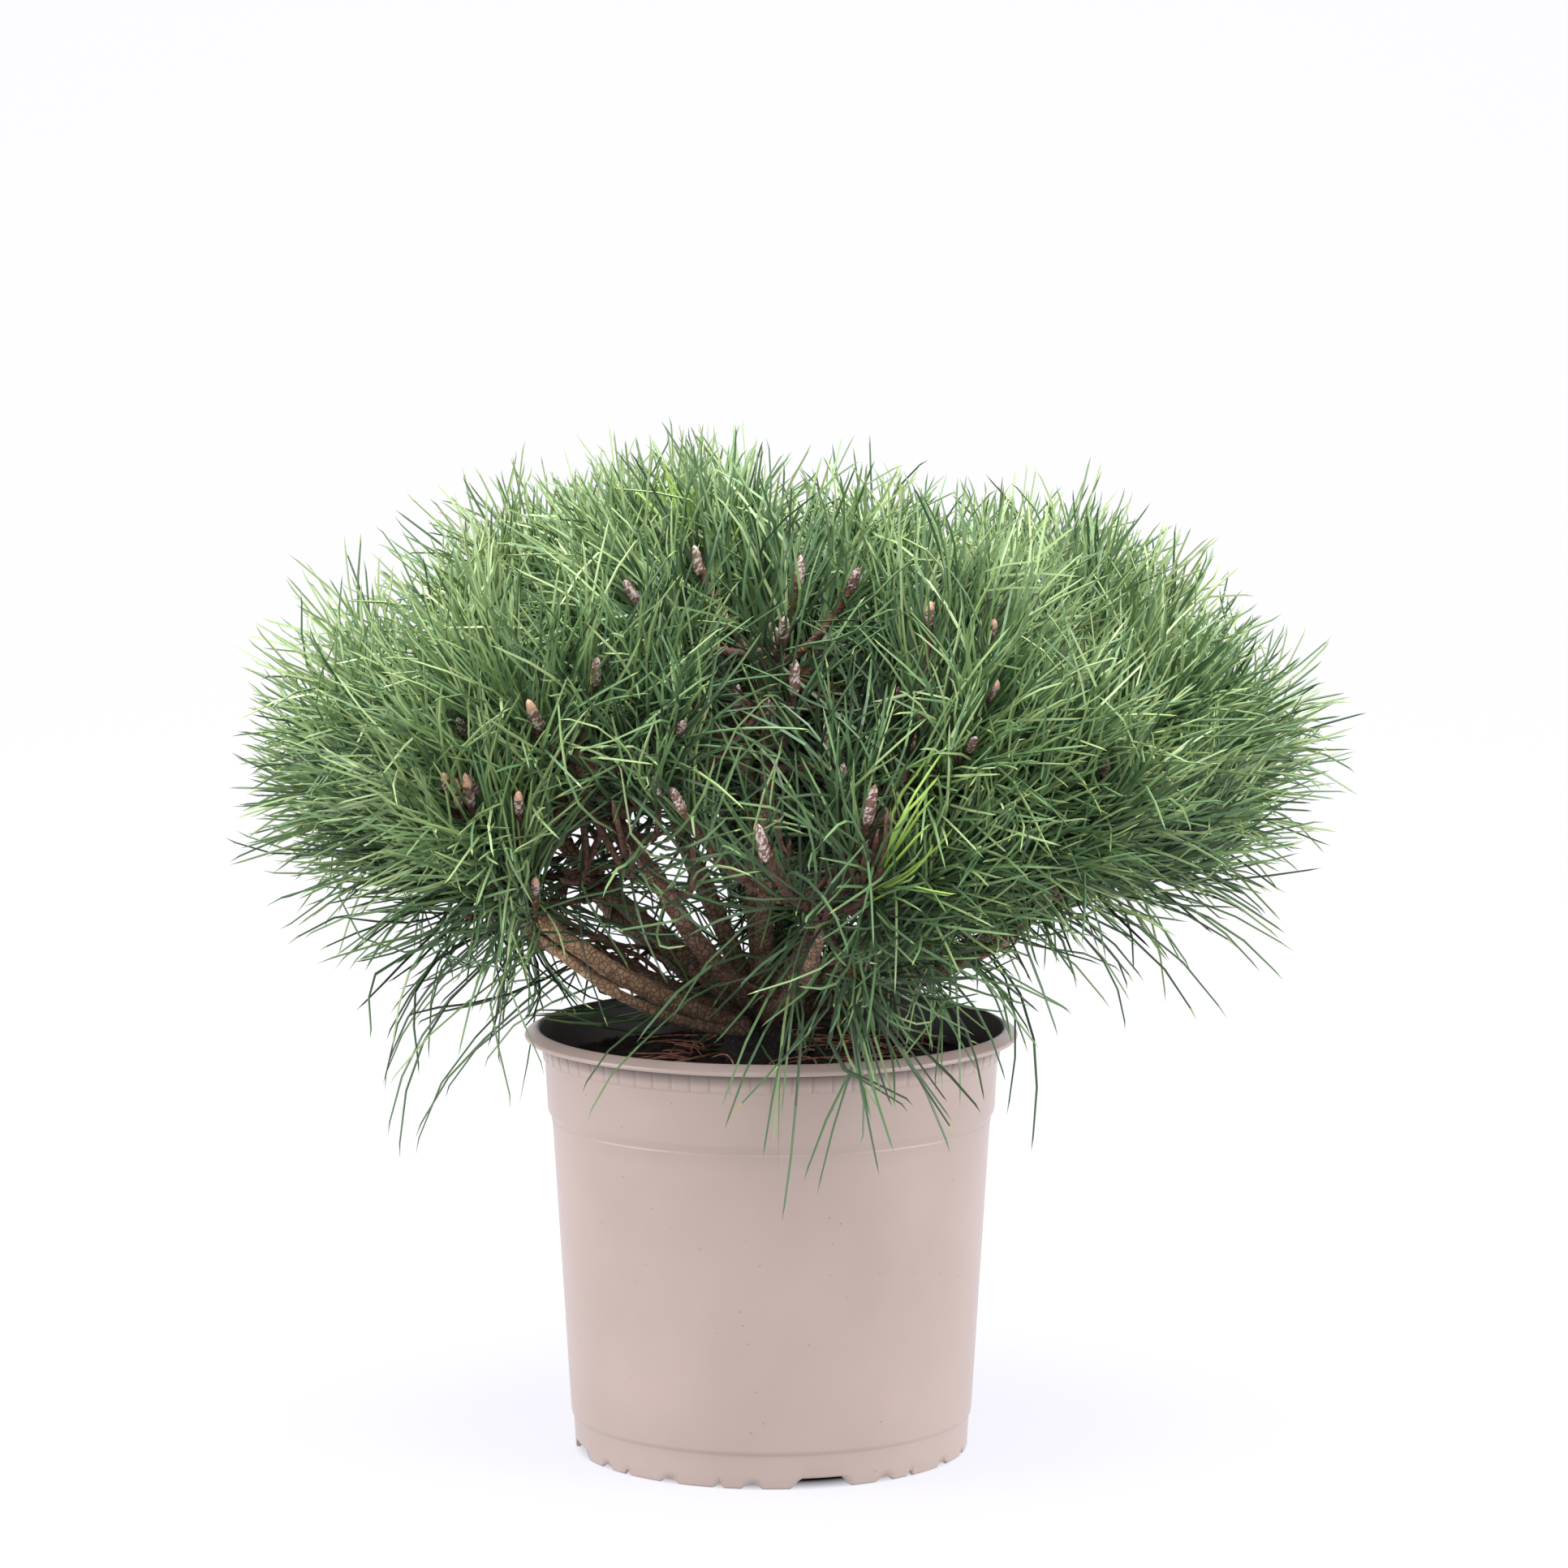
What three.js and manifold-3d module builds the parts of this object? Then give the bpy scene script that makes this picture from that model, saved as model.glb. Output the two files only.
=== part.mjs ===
// Potted mugo pine: a low, many-stemmed pine in a round nursery container.
// Millimetres, +Z up. The origin is the middle of the container's flat underside,
// +X is to the right and -Y is the side the plant is seen from.
import * as THREE from "three";
import { mergeVertices } from "three/addons/utils/BufferGeometryUtils.js";
import Module from "manifold-3d";

const wasm = await Module();
wasm.setup();

// Sizes of the container. Each radius is an outer one.
const POT = {
  height: 199,
  wall: 1.6,
  facets: 44,
  lipRadius: 115,
  lipDrop: 4,
  lipEdge: 1.8,
  lipRound: 0.5,
  mouthRadius: 108,
  collarFoot: 185,
  collarRadius: 106.6,
  collarFlare: 1.4,
  bandFoot: 156.3,
  bandRadius: 102.3,
  bandStep: 2.1,
  bandRise: 4.8,
  skirtTop: 15.9,
  skirtRadius: 92.9,
  skirtStep: 1,
  skirtRise: 3,
  footRadius: 92,
  footWidth: 2.4,
  floor: 2,
  padRadius: 58,
  padSlope: 4,
  channelHeight: 6,
};

// Drainage notches in the foot, repeated in each quarter turn from the first wide one.
// `at` is degrees on from that one, and `width` and `top` are the notch's two widths.
const NOTCHES = {
  quarters: 4,
  firstAt: -75.6,
  depth: 8,
  proud: 2,
  kinds: [
    { at: 0, width: 28, top: 21, height: 5 },
    { at: 20, width: 7.5, top: 5.5, height: 2.4 },
    { at: 29.5, width: 4, top: 2.4, height: 2.8 },
    { at: 45, width: 10, top: 8, height: 2 },
    { at: 60.5, width: 4, top: 2.4, height: 2.8 },
    { at: 70, width: 7.5, top: 5.5, height: 2.4 },
  ],
};

const GAP = 0.3;
const SOIL = { edge: 177, crown: 181, crownMargin: 26 };
const TRUNK = {
  at: [-6, 2],
  height: 30,
  lean: [3, -2],
  foot: 21,
  waist: 15.5,
  head: 13.5,
  fork: 0.72,
  sides: 12,
  steps: 4,
};

// The dome on which the buds at the shoots' tips lie. Its angle runs from 0 degrees at
// the top to `lowest` at the crown's lower edge, `power` squares its shoulders, and
// `crowding` above 1 brings the shoots closer together towards the top.
const CROWN = {
  centre: [5, 3, 292],
  halfWidth: 224,
  halfDepth: 214,
  rise: 146,
  drop: 66,
  power: 2.5,
  lowest: 138,
  crowding: 1.12,
  jitter: 9,
  lean: 0.8,
};

// Open places under the crown, through which the boughs and the sky behind show.
const WINDOWS = [
  { at: 246, half: 19, floor: 306 },
  { at: 110, half: 18, floor: 288 },
];

// Rings of boughs: where each ring starts and how far it turns, in degrees, and the
// angle of the place on the dome that its boughs aim at.
const RINGS = [
  { name: "low", count: 8, from: 282, sweep: 290, angle: 97, radius: 6.2 },
  { name: "mid", count: 6, from: 236, sweep: 300, angle: 60, radius: 5.6 },
  { name: "top", count: 3, from: 265, sweep: 240, angle: 27, radius: 5.2 },
  { name: "leader", count: 1, from: 200, sweep: 0, angle: 4, radius: 5.4 },
];
const BOUGH = {
  end: 0.5,
  taper: 0.55,
  thinnest: 0.85,
  thickest: 1.1,
  sag: 9,
  sides: 6,
  steps: 3,
  jitter: 5,
};

// A mass's stem, and the part of it, as shares of its length, that twigs leave.
const STEM = { reach: 0.74, radius: 3.4, sides: 4, steps: 2, twigsFrom: 0.12, twigsTo: 0.85 };

// Shoots: the leafy length below each bud, and the radii of the twig and the leafy core.
const SHOOT = {
  count: 134,
  length: 74,
  mostLeafy: 0.8,
  radius: 2.6,
  twigFoot: 2.4,
  twigBend: 0.5,
  budLength: 16,
  budMost: 0.3,
  sides: 4,
  rows: 3,
};

// Needles leave the core at an angle that closes from the shoot's foot to its tip, curl
// forwards, and droop on low shoots, where they are longer too.
const NEEDLE = {
  length: 76,
  tipShort: 0.72,
  shortest: 0.85,
  longest: 1.1,
  lowLonger: 1.08,
  radius: 1.5,
  rootAngle: 60,
  tipAngle: 22,
  curl: 0.1,
  droop: 0.36,
  kept: 0.8,
  apart: 5.2,
  tests: [0.15, 0.3, 0.5, 0.65, 0.8, 1],
};

// Dome angles, in radians, from which shoots start to droop and at which they droop in full.
const DROOP = { from: 1, full: 2.2 };

// Each mass keeps to the space nearer to its centre, a share of the way from the fork to
// its bough's aim, than to the others'.
const SPACE = { centre: 0.78, clear: 0.5, limbPoints: 20, twigTests: [0.3, 0.6, 0.9, 1] };

const SEED = 20;
const BOUGH_SEED = SEED + 1000;
// Steps of a sequence whose points stay evenly spread however many are taken.
const EVEN_STEP = [0.7548776662466927, 0.5698402909980532];

const COLOURS = {
  pot: 0xb9a99c,
  soil: 0x2a1f19,
  bark: 0x6b4c36,
  needles: 0x3f7a3c,
};

const radians = THREE.MathUtils.degToRad;
const mix = THREE.MathUtils.lerp;

// Random numbers from 0 to 1, the same ones for the same seed.
function seeded(seed) {
  let state = seed >>> 0;
  return () => {
    state = (state + 0x6d2b79f5) >>> 0;
    let bits = Math.imul(state ^ (state >>> 15), state | 1);
    bits ^= bits + Math.imul(bits ^ (bits >>> 7), bits | 61);
    return ((bits ^ (bits >>> 14)) >>> 0) / 4294967296;
  };
}

function solidFrom(geometry) {
  const bare = geometry.clone();
  bare.deleteAttribute("normal");
  bare.deleteAttribute("uv");
  const merged = mergeVertices(bare, 1e-3);
  return new wasm.Manifold(
    new wasm.Mesh({
      numProp: 3,
      vertProperties: new Float32Array(merged.getAttribute("position").array),
      triVerts: new Uint32Array(merged.index.array),
    }),
  );
}

function geometryFrom(solid) {
  const mesh = solid.getMesh();
  const geometry = new THREE.BufferGeometry();
  geometry.setAttribute("position", new THREE.BufferAttribute(mesh.vertProperties, 3));
  geometry.setIndex(new THREE.BufferAttribute(mesh.triVerts, 1));
  geometry.computeVertexNormals();
  return geometry;
}

// The largest body of a solid, with loose scraps and sealed hollows left out.
function largestBody(solid) {
  const bodies = solid.decompose();
  return bodies.reduce((best, body) => (body.volume() > best.volume() ? body : best));
}

// A round limb along a curve. Each ring is [place along the curve from 0 to 1, radius], and
// a last ring of radius 0 makes a point.
function limbGeometry(curve, rings, sides) {
  const steps = rings.length - 1;
  const pointed = rings[steps][1] === 0;
  const tube = new THREE.CylinderGeometry(pointed ? 0 : 1, 1, 1, sides, steps);
  const frames = curve.computeFrenetFrames(100, false);
  const corners = tube.getAttribute("position");
  for (let i = 0; i < corners.count; i++) {
    const [along, radius] = rings[Math.round((corners.getY(i) + 0.5) * steps)];
    const across = corners.getX(i);
    const up = -corners.getZ(i);
    const scale = radius / (Math.hypot(across, up) || 1);
    const frame = Math.round(along * 100);
    const at = curve.getPointAt(along);
    at.addScaledVector(frames.normals[frame], across * scale);
    at.addScaledVector(frames.binormals[frame], up * scale);
    corners.setXYZ(i, at.x, at.y, at.z);
  }
  return tube;
}

// Rings spaced evenly along a limb, with the radius that radiusAt gives.
function evenRings(count, radiusAt) {
  return Array.from({ length: count + 1 }, (_, i) => [i / count, radiusAt(i / count)]);
}

// The container's outline as [radius, height], from the middle of its underside up the
// outside to the mouth, and from there down the inside to the middle of its floor.
function potProfile() {
  const p = POT;
  const channelTop = p.channelHeight + p.floor;
  const channelFoot = p.footRadius - p.footWidth;
  const lipFoot = p.height - p.lipDrop;
  const outside = [
    [0, 0],
    [p.padRadius, 0],
    [p.padRadius + p.padSlope, p.channelHeight],
    [channelFoot, p.channelHeight],
    [channelFoot, 0],
    [p.footRadius, 0],
    [p.skirtRadius, p.skirtTop],
    [p.skirtRadius + p.skirtStep, p.skirtTop + p.skirtRise],
    [p.bandRadius, p.bandFoot],
    [p.bandRadius + p.bandStep, p.bandFoot + p.bandRise],
    [p.collarRadius, p.collarFoot],
    [p.collarRadius + p.collarFlare, lipFoot - p.lipEdge],
    [p.lipRadius, lipFoot],
    [p.lipRadius - p.lipRound, lipFoot + p.lipEdge],
    [p.mouthRadius, p.height],
  ];
  const inside = [
    [p.collarRadius - p.wall, p.collarFoot],
    [p.bandRadius - p.wall, p.bandFoot],
    [p.footRadius - p.wall, channelTop],
    [p.padRadius + p.padSlope - p.floor / 2, channelTop],
    [p.padRadius - p.floor / 2, p.floor],
    [0, p.floor],
  ];
  return { outside, inside };
}

function lathe(points) {
  const profile = points.map(([r, z]) => new THREE.Vector2(r, z));
  return new THREE.LatheGeometry(profile, POT.facets).rotateX(Math.PI / 2);
}

// One drainage notch: a tapered block across the foot, at an angle from the front.
function notchCutter(kind, turn) {
  const shape = new THREE.Shape();
  shape.moveTo(-kind.width / 2, -NOTCHES.proud);
  shape.lineTo(kind.width / 2, -NOTCHES.proud);
  shape.lineTo(kind.top / 2, kind.height);
  shape.lineTo(-kind.top / 2, kind.height);
  const block = new THREE.ExtrudeGeometry(shape, { depth: NOTCHES.depth, bevelEnabled: false });
  block.rotateX(Math.PI / 2);
  block.translate(0, -(POT.footRadius - NOTCHES.depth + NOTCHES.proud), 0);
  return block.rotateZ(radians(turn));
}

function potGeometry() {
  const { outside, inside } = potProfile();
  const blank = solidFrom(lathe([...outside, ...inside]));
  const cutters = [];
  for (let quarter = 0; quarter < NOTCHES.quarters; quarter++) {
    for (const kind of NOTCHES.kinds) {
      const turn = NOTCHES.firstAt + kind.at + (360 / NOTCHES.quarters) * quarter;
      cutters.push(solidFrom(notchCutter(kind, turn)));
    }
  }
  return geometryFrom(blank.subtract(wasm.Manifold.union(cutters)));
}

function soilGeometry() {
  const { inside } = potProfile();
  const wallAt = (z) => {
    const i = inside.findIndex(([, height]) => height < z);
    const [r0, z0] = inside[i];
    const [r1, z1] = inside[i - 1];
    return mix(r0, r1, (z - z0) / (z1 - z0));
  };
  const below = inside
    .filter(([, z]) => z < SOIL.edge)
    .map(([r, z]) => (r ? [r - GAP, z + GAP] : [0, z + GAP]));
  const surface = [
    [wallAt(SOIL.edge) - GAP, SOIL.edge],
    [TRUNK.foot + SOIL.crownMargin, SOIL.crown],
    [0, SOIL.crown],
  ];
  return lathe([...below.reverse(), ...surface]);
}

function trunkCurve() {
  const [x, y] = TRUNK.at;
  const foot = SOIL.crown + GAP;
  return new THREE.QuadraticBezierCurve3(
    new THREE.Vector3(x, y, foot),
    new THREE.Vector3(x, y, foot + TRUNK.height / 2),
    new THREE.Vector3(x + TRUNK.lean[0], y + TRUNK.lean[1], foot + TRUNK.height),
  );
}

function trunkRadius(along) {
  const flare = TRUNK.foot - TRUNK.waist;
  return mix(TRUNK.waist, TRUNK.head, along) + flare * (1 - along) ** 4;
}

// The dome: distance out and height of the point at an angle from the top.
function domeProfile(angle) {
  const out = Math.sin(angle) ** (2 / CROWN.power);
  const lift = Math.abs(Math.cos(angle)) ** (2 / CROWN.power);
  return { out, up: Math.cos(angle) >= 0 ? lift * CROWN.rise : -lift * CROWN.drop };
}

function domePoint(angle, turn) {
  const { out, up } = domeProfile(angle);
  return new THREE.Vector3(
    CROWN.centre[0] + CROWN.halfWidth * out * Math.cos(turn),
    CROWN.centre[1] + CROWN.halfDepth * out * Math.sin(turn),
    CROWN.centre[2] + up,
  );
}

// The dome's area from the top down to each of its steps.
const DOME_STEPS = 90;
const lowest = radians(CROWN.lowest);
const domeArea = [0];
for (let i = 1; i <= DOME_STEPS; i++) {
  const upper = domeProfile((lowest * (i - 1)) / DOME_STEPS);
  const lower = domeProfile((lowest * i) / DOME_STEPS);
  const slope = Math.hypot((lower.out - upper.out) * CROWN.halfWidth, lower.up - upper.up);
  domeArea.push(domeArea[i - 1] + (slope * (upper.out + lower.out)) / 2);
}

// The angle above which a share of the dome's area lies.
function angleAtShare(share) {
  const wanted = share * domeArea[DOME_STEPS];
  const i = domeArea.findIndex((area) => area >= wanted) || 1;
  const part = (wanted - domeArea[i - 1]) / (domeArea[i] - domeArea[i - 1]);
  return (lowest * (i - 1 + part)) / DOME_STEPS;
}

// Boughs: each from the trunk's head towards its place on the dome.
const head = trunkCurve().getPoint(TRUNK.fork);
const boughs = [];
for (const ring of RINGS) {
  for (let i = 0; i < ring.count; i++) {
    const draw = seeded(BOUGH_SEED + boughs.length);
    const swing = (draw() - 0.5) * 2 * BOUGH.jitter;
    const turn = radians(ring.from + (ring.sweep * i) / Math.max(1, ring.count - 1) + swing);
    const aim = domePoint(radians(ring.angle + (draw() - 0.5) * BOUGH.jitter), turn);
    const end = head.clone().lerp(aim, BOUGH.end);
    const bend = head.clone().lerp(end, 0.5);
    bend.z -= BOUGH.sag * Math.sin(radians(ring.angle));
    boughs.push({
      name: `${ring.name}_${i + 1}`,
      aim,
      end,
      radius: ring.radius * mix(BOUGH.thinnest, BOUGH.thickest, draw()),
      curve: new THREE.QuadraticBezierCurve3(head.clone(), bend, end),
      centre: head.clone().lerp(aim, SPACE.centre),
    });
  }
}

// How far inside the space of mass `own` a point lies: the least distance to the planes
// half way between its centre and those of the other masses.
function insideSpace(point, own) {
  let least = Infinity;
  boughs.forEach((other, i) => {
    if (i === own) return;
    const centre = boughs[own].centre;
    const further = point.distanceToSquared(other.centre) - point.distanceToSquared(centre);
    least = Math.min(least, further / (2 * centre.distanceTo(other.centre)));
  });
  return least;
}

function nearestMass(point) {
  const distances = boughs.map((bough) => point.distanceToSquared(bough.centre));
  return distances.indexOf(Math.min(...distances));
}

// Shoots: the bud of each lies on the dome, and points out and up.
function shootAt(number) {
  const draw = seeded(SEED + number);
  const turn = 2 * Math.PI * ((0.5 + number * EVEN_STEP[0]) % 1);
  const angle = angleAtShare(((0.5 + number * EVEN_STEP[1]) % 1) ** CROWN.crowding);
  const bud = domePoint(angle, turn);
  bud.x += (draw() - 0.5) * 2 * CROWN.jitter;
  bud.y += (draw() - 0.5) * 2 * CROWN.jitter;
  bud.z += (draw() - 0.5) * 2 * CROWN.jitter;
  const tilt = angle * CROWN.lean;
  const heading = new THREE.Vector3(
    Math.sin(tilt) * Math.cos(turn),
    Math.sin(tilt) * Math.sin(turn),
    Math.cos(tilt),
  );
  return { number, turn, angle, bud, heading, draw };
}

function inWindow(shoot) {
  const turn = THREE.MathUtils.radToDeg(shoot.turn);
  return WINDOWS.some((window) => {
    const away = Math.abs(((turn - window.at + 540) % 360) - 180);
    return away < window.half && shoot.bud.z < window.floor;
  });
}

const shoots = [];
for (let number = 0; number < SHOOT.count; number++) {
  const shoot = shootAt(number);
  if (!inWindow(shoot)) shoots.push({ ...shoot, mass: nearestMass(shoot.bud) });
}

const boughRings = (bough, extra = 0) =>
  evenRings(BOUGH.steps, (along) => bough.radius * mix(1, BOUGH.taper, along) + extra);

// Points along every bough, each with the bough's radius there.
const limbPoints = boughs.flatMap((bough) =>
  bough.curve.getPoints(SPACE.limbPoints).map((at, i) => {
    return { at, radius: bough.radius * mix(1, BOUGH.taper, i / SPACE.limbPoints) };
  }),
);

// The radius that the container fills at a height, or 0 above it.
function potRadiusAt(z) {
  if (z > POT.height + SPACE.clear) return 0;
  if (z > POT.collarFoot) return POT.lipRadius;
  return mix(POT.footRadius, POT.collarRadius, z / POT.collarFoot);
}

// Whether a point keeps to its mass's space, and clear of the boughs and the container.
function isFree(point, radius, own) {
  const room = radius + SPACE.clear;
  return (
    insideSpace(point, own) > room &&
    Math.hypot(point.x, point.y) > potRadiusAt(point.z) + room &&
    limbPoints.every((limb) => limb.at.distanceTo(point) > limb.radius + room)
  );
}

// A mass's stem goes on from its bough's tip, face to face with it across the gap.
function stemCurve(bough) {
  const onward = bough.curve.getTangent(1);
  const start = bough.end.clone().addScaledVector(onward, GAP);
  const finish = bough.end.clone().lerp(bough.aim, STEM.reach);
  const bend = start.clone().addScaledVector(onward, start.distanceTo(finish) / 2);
  return new THREE.QuadraticBezierCurve3(start, bend, finish);
}

// A shoot's twig leaves the mass's stem and turns to end at its bud.
function twigCurve(stem, shoot) {
  const from = stem.getPoint(mix(STEM.twigsFrom, STEM.twigsTo, shoot.draw()));
  const reach = from.distanceTo(shoot.bud);
  const bend = shoot.bud.clone().addScaledVector(shoot.heading, -SHOOT.twigBend * reach);
  return new THREE.QuadraticBezierCurve3(from, bend, shoot.bud);
}

// The tip of the needle that a face of the twig's core is drawn out to.
function needleTip(foot, twig, along, share, lowness, draw) {
  const axis = twig.getTangentAt(along);
  const out = foot.clone().sub(twig.getPointAt(along)).normalize();
  const leave = radians(mix(NEEDLE.rootAngle, NEEDLE.tipAngle, share));
  const size = mix(NEEDLE.shortest, NEEDLE.longest, draw()) * mix(1, NEEDLE.lowLonger, lowness);
  const length = NEEDLE.length * mix(1, NEEDLE.tipShort, share) * size;
  const tip = foot.clone().addScaledVector(axis, length * (Math.cos(leave) + NEEDLE.curl));
  tip.addScaledVector(out, length * Math.sin(leave));
  tip.z -= NEEDLE.droop * length * lowness;
  return tip;
}

// Whether a needle would leave its mass's space, or cut through what is placed already.
function isBlocked(foot, tip, own, placed) {
  const nearest = new THREE.Vector3();
  const middle = foot.clone().lerp(tip, 0.5);
  if (!isFree(middle, NEEDLE.radius, own) || !isFree(tip, 0, own)) return true;
  return NEEDLE.tests.some((part) => {
    const point = foot.clone().lerp(tip, part);
    return placed.some((line) => {
      line.closestPointToPoint(point, true, nearest);
      return nearest.distanceTo(point) < NEEDLE.apart;
    });
  });
}

// A shoot: a slim core ending in a bud, with needles drawn out of its leafy part's faces.
// Its lines are added to those placed. A shoot whose twig isn't free gives nothing.
function shootGeometry(shoot, stem, own, placed) {
  const twig = twigCurve(stem, shoot);
  const length = twig.getLength();
  const free = SPACE.twigTests.every((t) => isFree(twig.getPointAt(t), SHOOT.radius, own));
  if (!free) return null;
  const leafyFrom = 1 - Math.min(SHOOT.mostLeafy, SHOOT.length / length);
  const leafyTo = 1 - Math.min(SHOOT.budMost, SHOOT.budLength / length);
  const rings = [[0, SHOOT.twigFoot]];
  for (let i = 0; i <= SHOOT.rows; i++) {
    rings.push([mix(leafyFrom, leafyTo, i / SHOOT.rows), SHOOT.radius]);
  }
  rings.push([1, 0]);
  const core = limbGeometry(twig, rings, SHOOT.sides);
  const places = core.getAttribute("position");
  const lowness = THREE.MathUtils.smoothstep(shoot.angle, DROOP.from, DROOP.full);
  const faces = [];
  const middle = twig.getPoint(0.5);
  const lines = [new THREE.Line3(twig.getPoint(0), middle), new THREE.Line3(middle, shoot.bud)];
  for (let i = 0; i < core.index.count; i += 3) {
    const ids = [0, 1, 2].map((k) => core.index.getX(i + k));
    const face = ids.map((id) => new THREE.Vector3().fromBufferAttribute(places, id));
    const onSide = i < core.groups[0].start + core.groups[0].count;
    const row = onSide ? ids.reduce((sum, id) => sum + core.getAttribute("uv").getY(id), 0) / 3 : 0;
    const share = (row * (rings.length - 1) - 1) / SHOOT.rows;
    const needle = [];
    if (onSide && share > 0 && share < 1 && shoot.draw() < NEEDLE.kept) {
      const foot = face[0].clone().add(face[1]).add(face[2]).divideScalar(3);
      const along = mix(leafyFrom, leafyTo, share);
      const tip = needleTip(foot, twig, along, share, lowness, shoot.draw);
      if (!isBlocked(foot, tip, own, placed)) {
        needle.push([face[0], face[1], tip], [face[1], face[2], tip], [face[2], face[0], tip]);
        lines.push(new THREE.Line3(foot, tip));
      }
    }
    faces.push(...(needle.length ? needle : [face]));
  }
  placed.push(...lines);
  return new THREE.BufferGeometry().setFromPoints(faces.flat());
}

function massGeometry(own) {
  const stem = stemCurve(boughs[own]);
  const stemRings = evenRings(STEM.steps, (along) => mix(STEM.radius, SHOOT.twigFoot, along));
  const solids = [solidFrom(limbGeometry(stem, stemRings, STEM.sides))];
  const placed = [];
  for (const shoot of shoots.filter((each) => each.mass === own)) {
    const geometry = shootGeometry(shoot, stem, own, placed);
    if (geometry) solids.push(solidFrom(geometry));
  }
  return geometryFrom(largestBody(wasm.Manifold.union(solids)));
}

const trunkRings = (extra = 0) => evenRings(TRUNK.steps, (along) => trunkRadius(along) + extra);

// Each bough is cut clear of the trunk and of the boughs made before it.
function boughGeometries() {
  const taken = [solidFrom(limbGeometry(trunkCurve(), trunkRings(GAP), TRUNK.sides))];
  return boughs.map((bough) => {
    const whole = solidFrom(limbGeometry(bough.curve, boughRings(bough), BOUGH.sides));
    const cut = largestBody(whole.subtract(wasm.Manifold.union(taken)));
    taken.push(solidFrom(limbGeometry(bough.curve, boughRings(bough, GAP), BOUGH.sides)));
    return geometryFrom(cut);
  });
}

const finish = {
  pot: new THREE.MeshStandardMaterial({ color: COLOURS.pot, roughness: 0.42 }),
  soil: new THREE.MeshStandardMaterial({ color: COLOURS.soil, roughness: 0.95 }),
  bark: new THREE.MeshStandardMaterial({ color: COLOURS.bark, roughness: 0.9 }),
  needles: new THREE.MeshStandardMaterial({ color: COLOURS.needles, roughness: 0.5 }),
};

const plant = new THREE.Group();

function add(name, geometry, material) {
  const mesh = new THREE.Mesh(geometry, material);
  mesh.name = name;
  plant.add(mesh);
}

add("pot", potGeometry(), finish.pot);
add("soil", soilGeometry(), finish.soil);
add("trunk", limbGeometry(trunkCurve(), trunkRings(), TRUNK.sides), finish.bark);
boughGeometries().forEach((geometry, i) => add(`bough_${boughs[i].name}`, geometry, finish.bark));
boughs.forEach((bough, i) => add(`needles_${bough.name}`, massGeometry(i), finish.needles));

export default plant;
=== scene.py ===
"""A potted mugo pine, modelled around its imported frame.

The boughs and shoots follow the rule that the frame's own limbs and needle masses were grown by, with
the same seeds: rings of boughs aimed at a dome, and shoots whose buds lie on that dome. The buds then
move to the plant's own outline, and some more shoots are placed one by one. The rule's values are in
millimetres, and turn to metres where a mesh is made.
"""

import math

import bmesh
import bpy
import numpy as np
from bpy.props import FloatProperty, FloatVectorProperty, IntProperty, PointerProperty
from mathutils import Matrix, Vector, noise


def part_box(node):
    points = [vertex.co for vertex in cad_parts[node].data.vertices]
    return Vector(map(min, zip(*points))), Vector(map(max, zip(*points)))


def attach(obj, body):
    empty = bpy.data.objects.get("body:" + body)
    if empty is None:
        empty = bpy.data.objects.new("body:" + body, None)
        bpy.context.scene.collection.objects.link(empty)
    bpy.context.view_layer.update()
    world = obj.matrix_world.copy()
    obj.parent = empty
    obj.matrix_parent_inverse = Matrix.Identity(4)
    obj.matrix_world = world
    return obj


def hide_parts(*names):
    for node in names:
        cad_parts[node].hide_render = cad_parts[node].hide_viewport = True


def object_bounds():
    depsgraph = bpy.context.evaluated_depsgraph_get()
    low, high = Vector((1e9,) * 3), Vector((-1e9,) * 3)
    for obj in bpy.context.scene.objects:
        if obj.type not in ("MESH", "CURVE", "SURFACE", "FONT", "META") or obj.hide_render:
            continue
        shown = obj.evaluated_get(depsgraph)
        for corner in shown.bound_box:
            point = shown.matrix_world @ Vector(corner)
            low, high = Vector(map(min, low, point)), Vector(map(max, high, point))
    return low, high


bl_info = {
    "name": "Potted mugo pine",
    "version": (1, 0, 0),
    "blender": (4, 5, 0),
    "location": "3D View > Sidebar > Mugo Pine",
    "description": "Models a potted mugo pine with its bark, shoots, buds, needles and pot",
    "category": "Add Mesh",
}

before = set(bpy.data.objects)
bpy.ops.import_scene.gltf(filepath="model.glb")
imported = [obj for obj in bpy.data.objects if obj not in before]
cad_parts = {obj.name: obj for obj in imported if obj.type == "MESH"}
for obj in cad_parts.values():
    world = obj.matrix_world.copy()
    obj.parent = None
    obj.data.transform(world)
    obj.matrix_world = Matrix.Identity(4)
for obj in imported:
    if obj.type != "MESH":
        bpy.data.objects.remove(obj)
CAD_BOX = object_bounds()

MM = 0.001
BODY = "root"
MASK = 0xFFFFFFFF

SOIL_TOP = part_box("soil")[1].z / MM
POT_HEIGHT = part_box("pot")[1].z / MM
LIP_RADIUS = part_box("pot")[1].x / MM

# The container's radii and heights, outside.
COLLAR_FOOT = 185.0
COLLAR_RADIUS = 106.6
BAND_TOP = 161.1
BAND_RADIUS = 104.4
WALL_TOP = 156.3
WALL_RADIUS = 102.3
SKIRT_TOP = 15.9
SKIRT_RADIUS = 92.9
FOOT_RADIUS = 92.0
FOOT_WIDTH = 2.4
PAD_RADIUS = 58.0
CHANNEL = 6.0
WALL = 1.6
MOUTH_RADIUS = 108.4
MOUTH_ROLL = 1.4
LIP_ROLL = 1.3
RIBS = 72
COLUMNS = 6 * RIBS

# The columns of each rib groove in the collar, in degrees from it: the second is its bottom.
GROOVE_COLUMNS = (-0.3, 0.0, 0.3, 1.25, 2.5, 3.75)
GROOVE_DEPTH = 0.6
BEAD = 0.24

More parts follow.
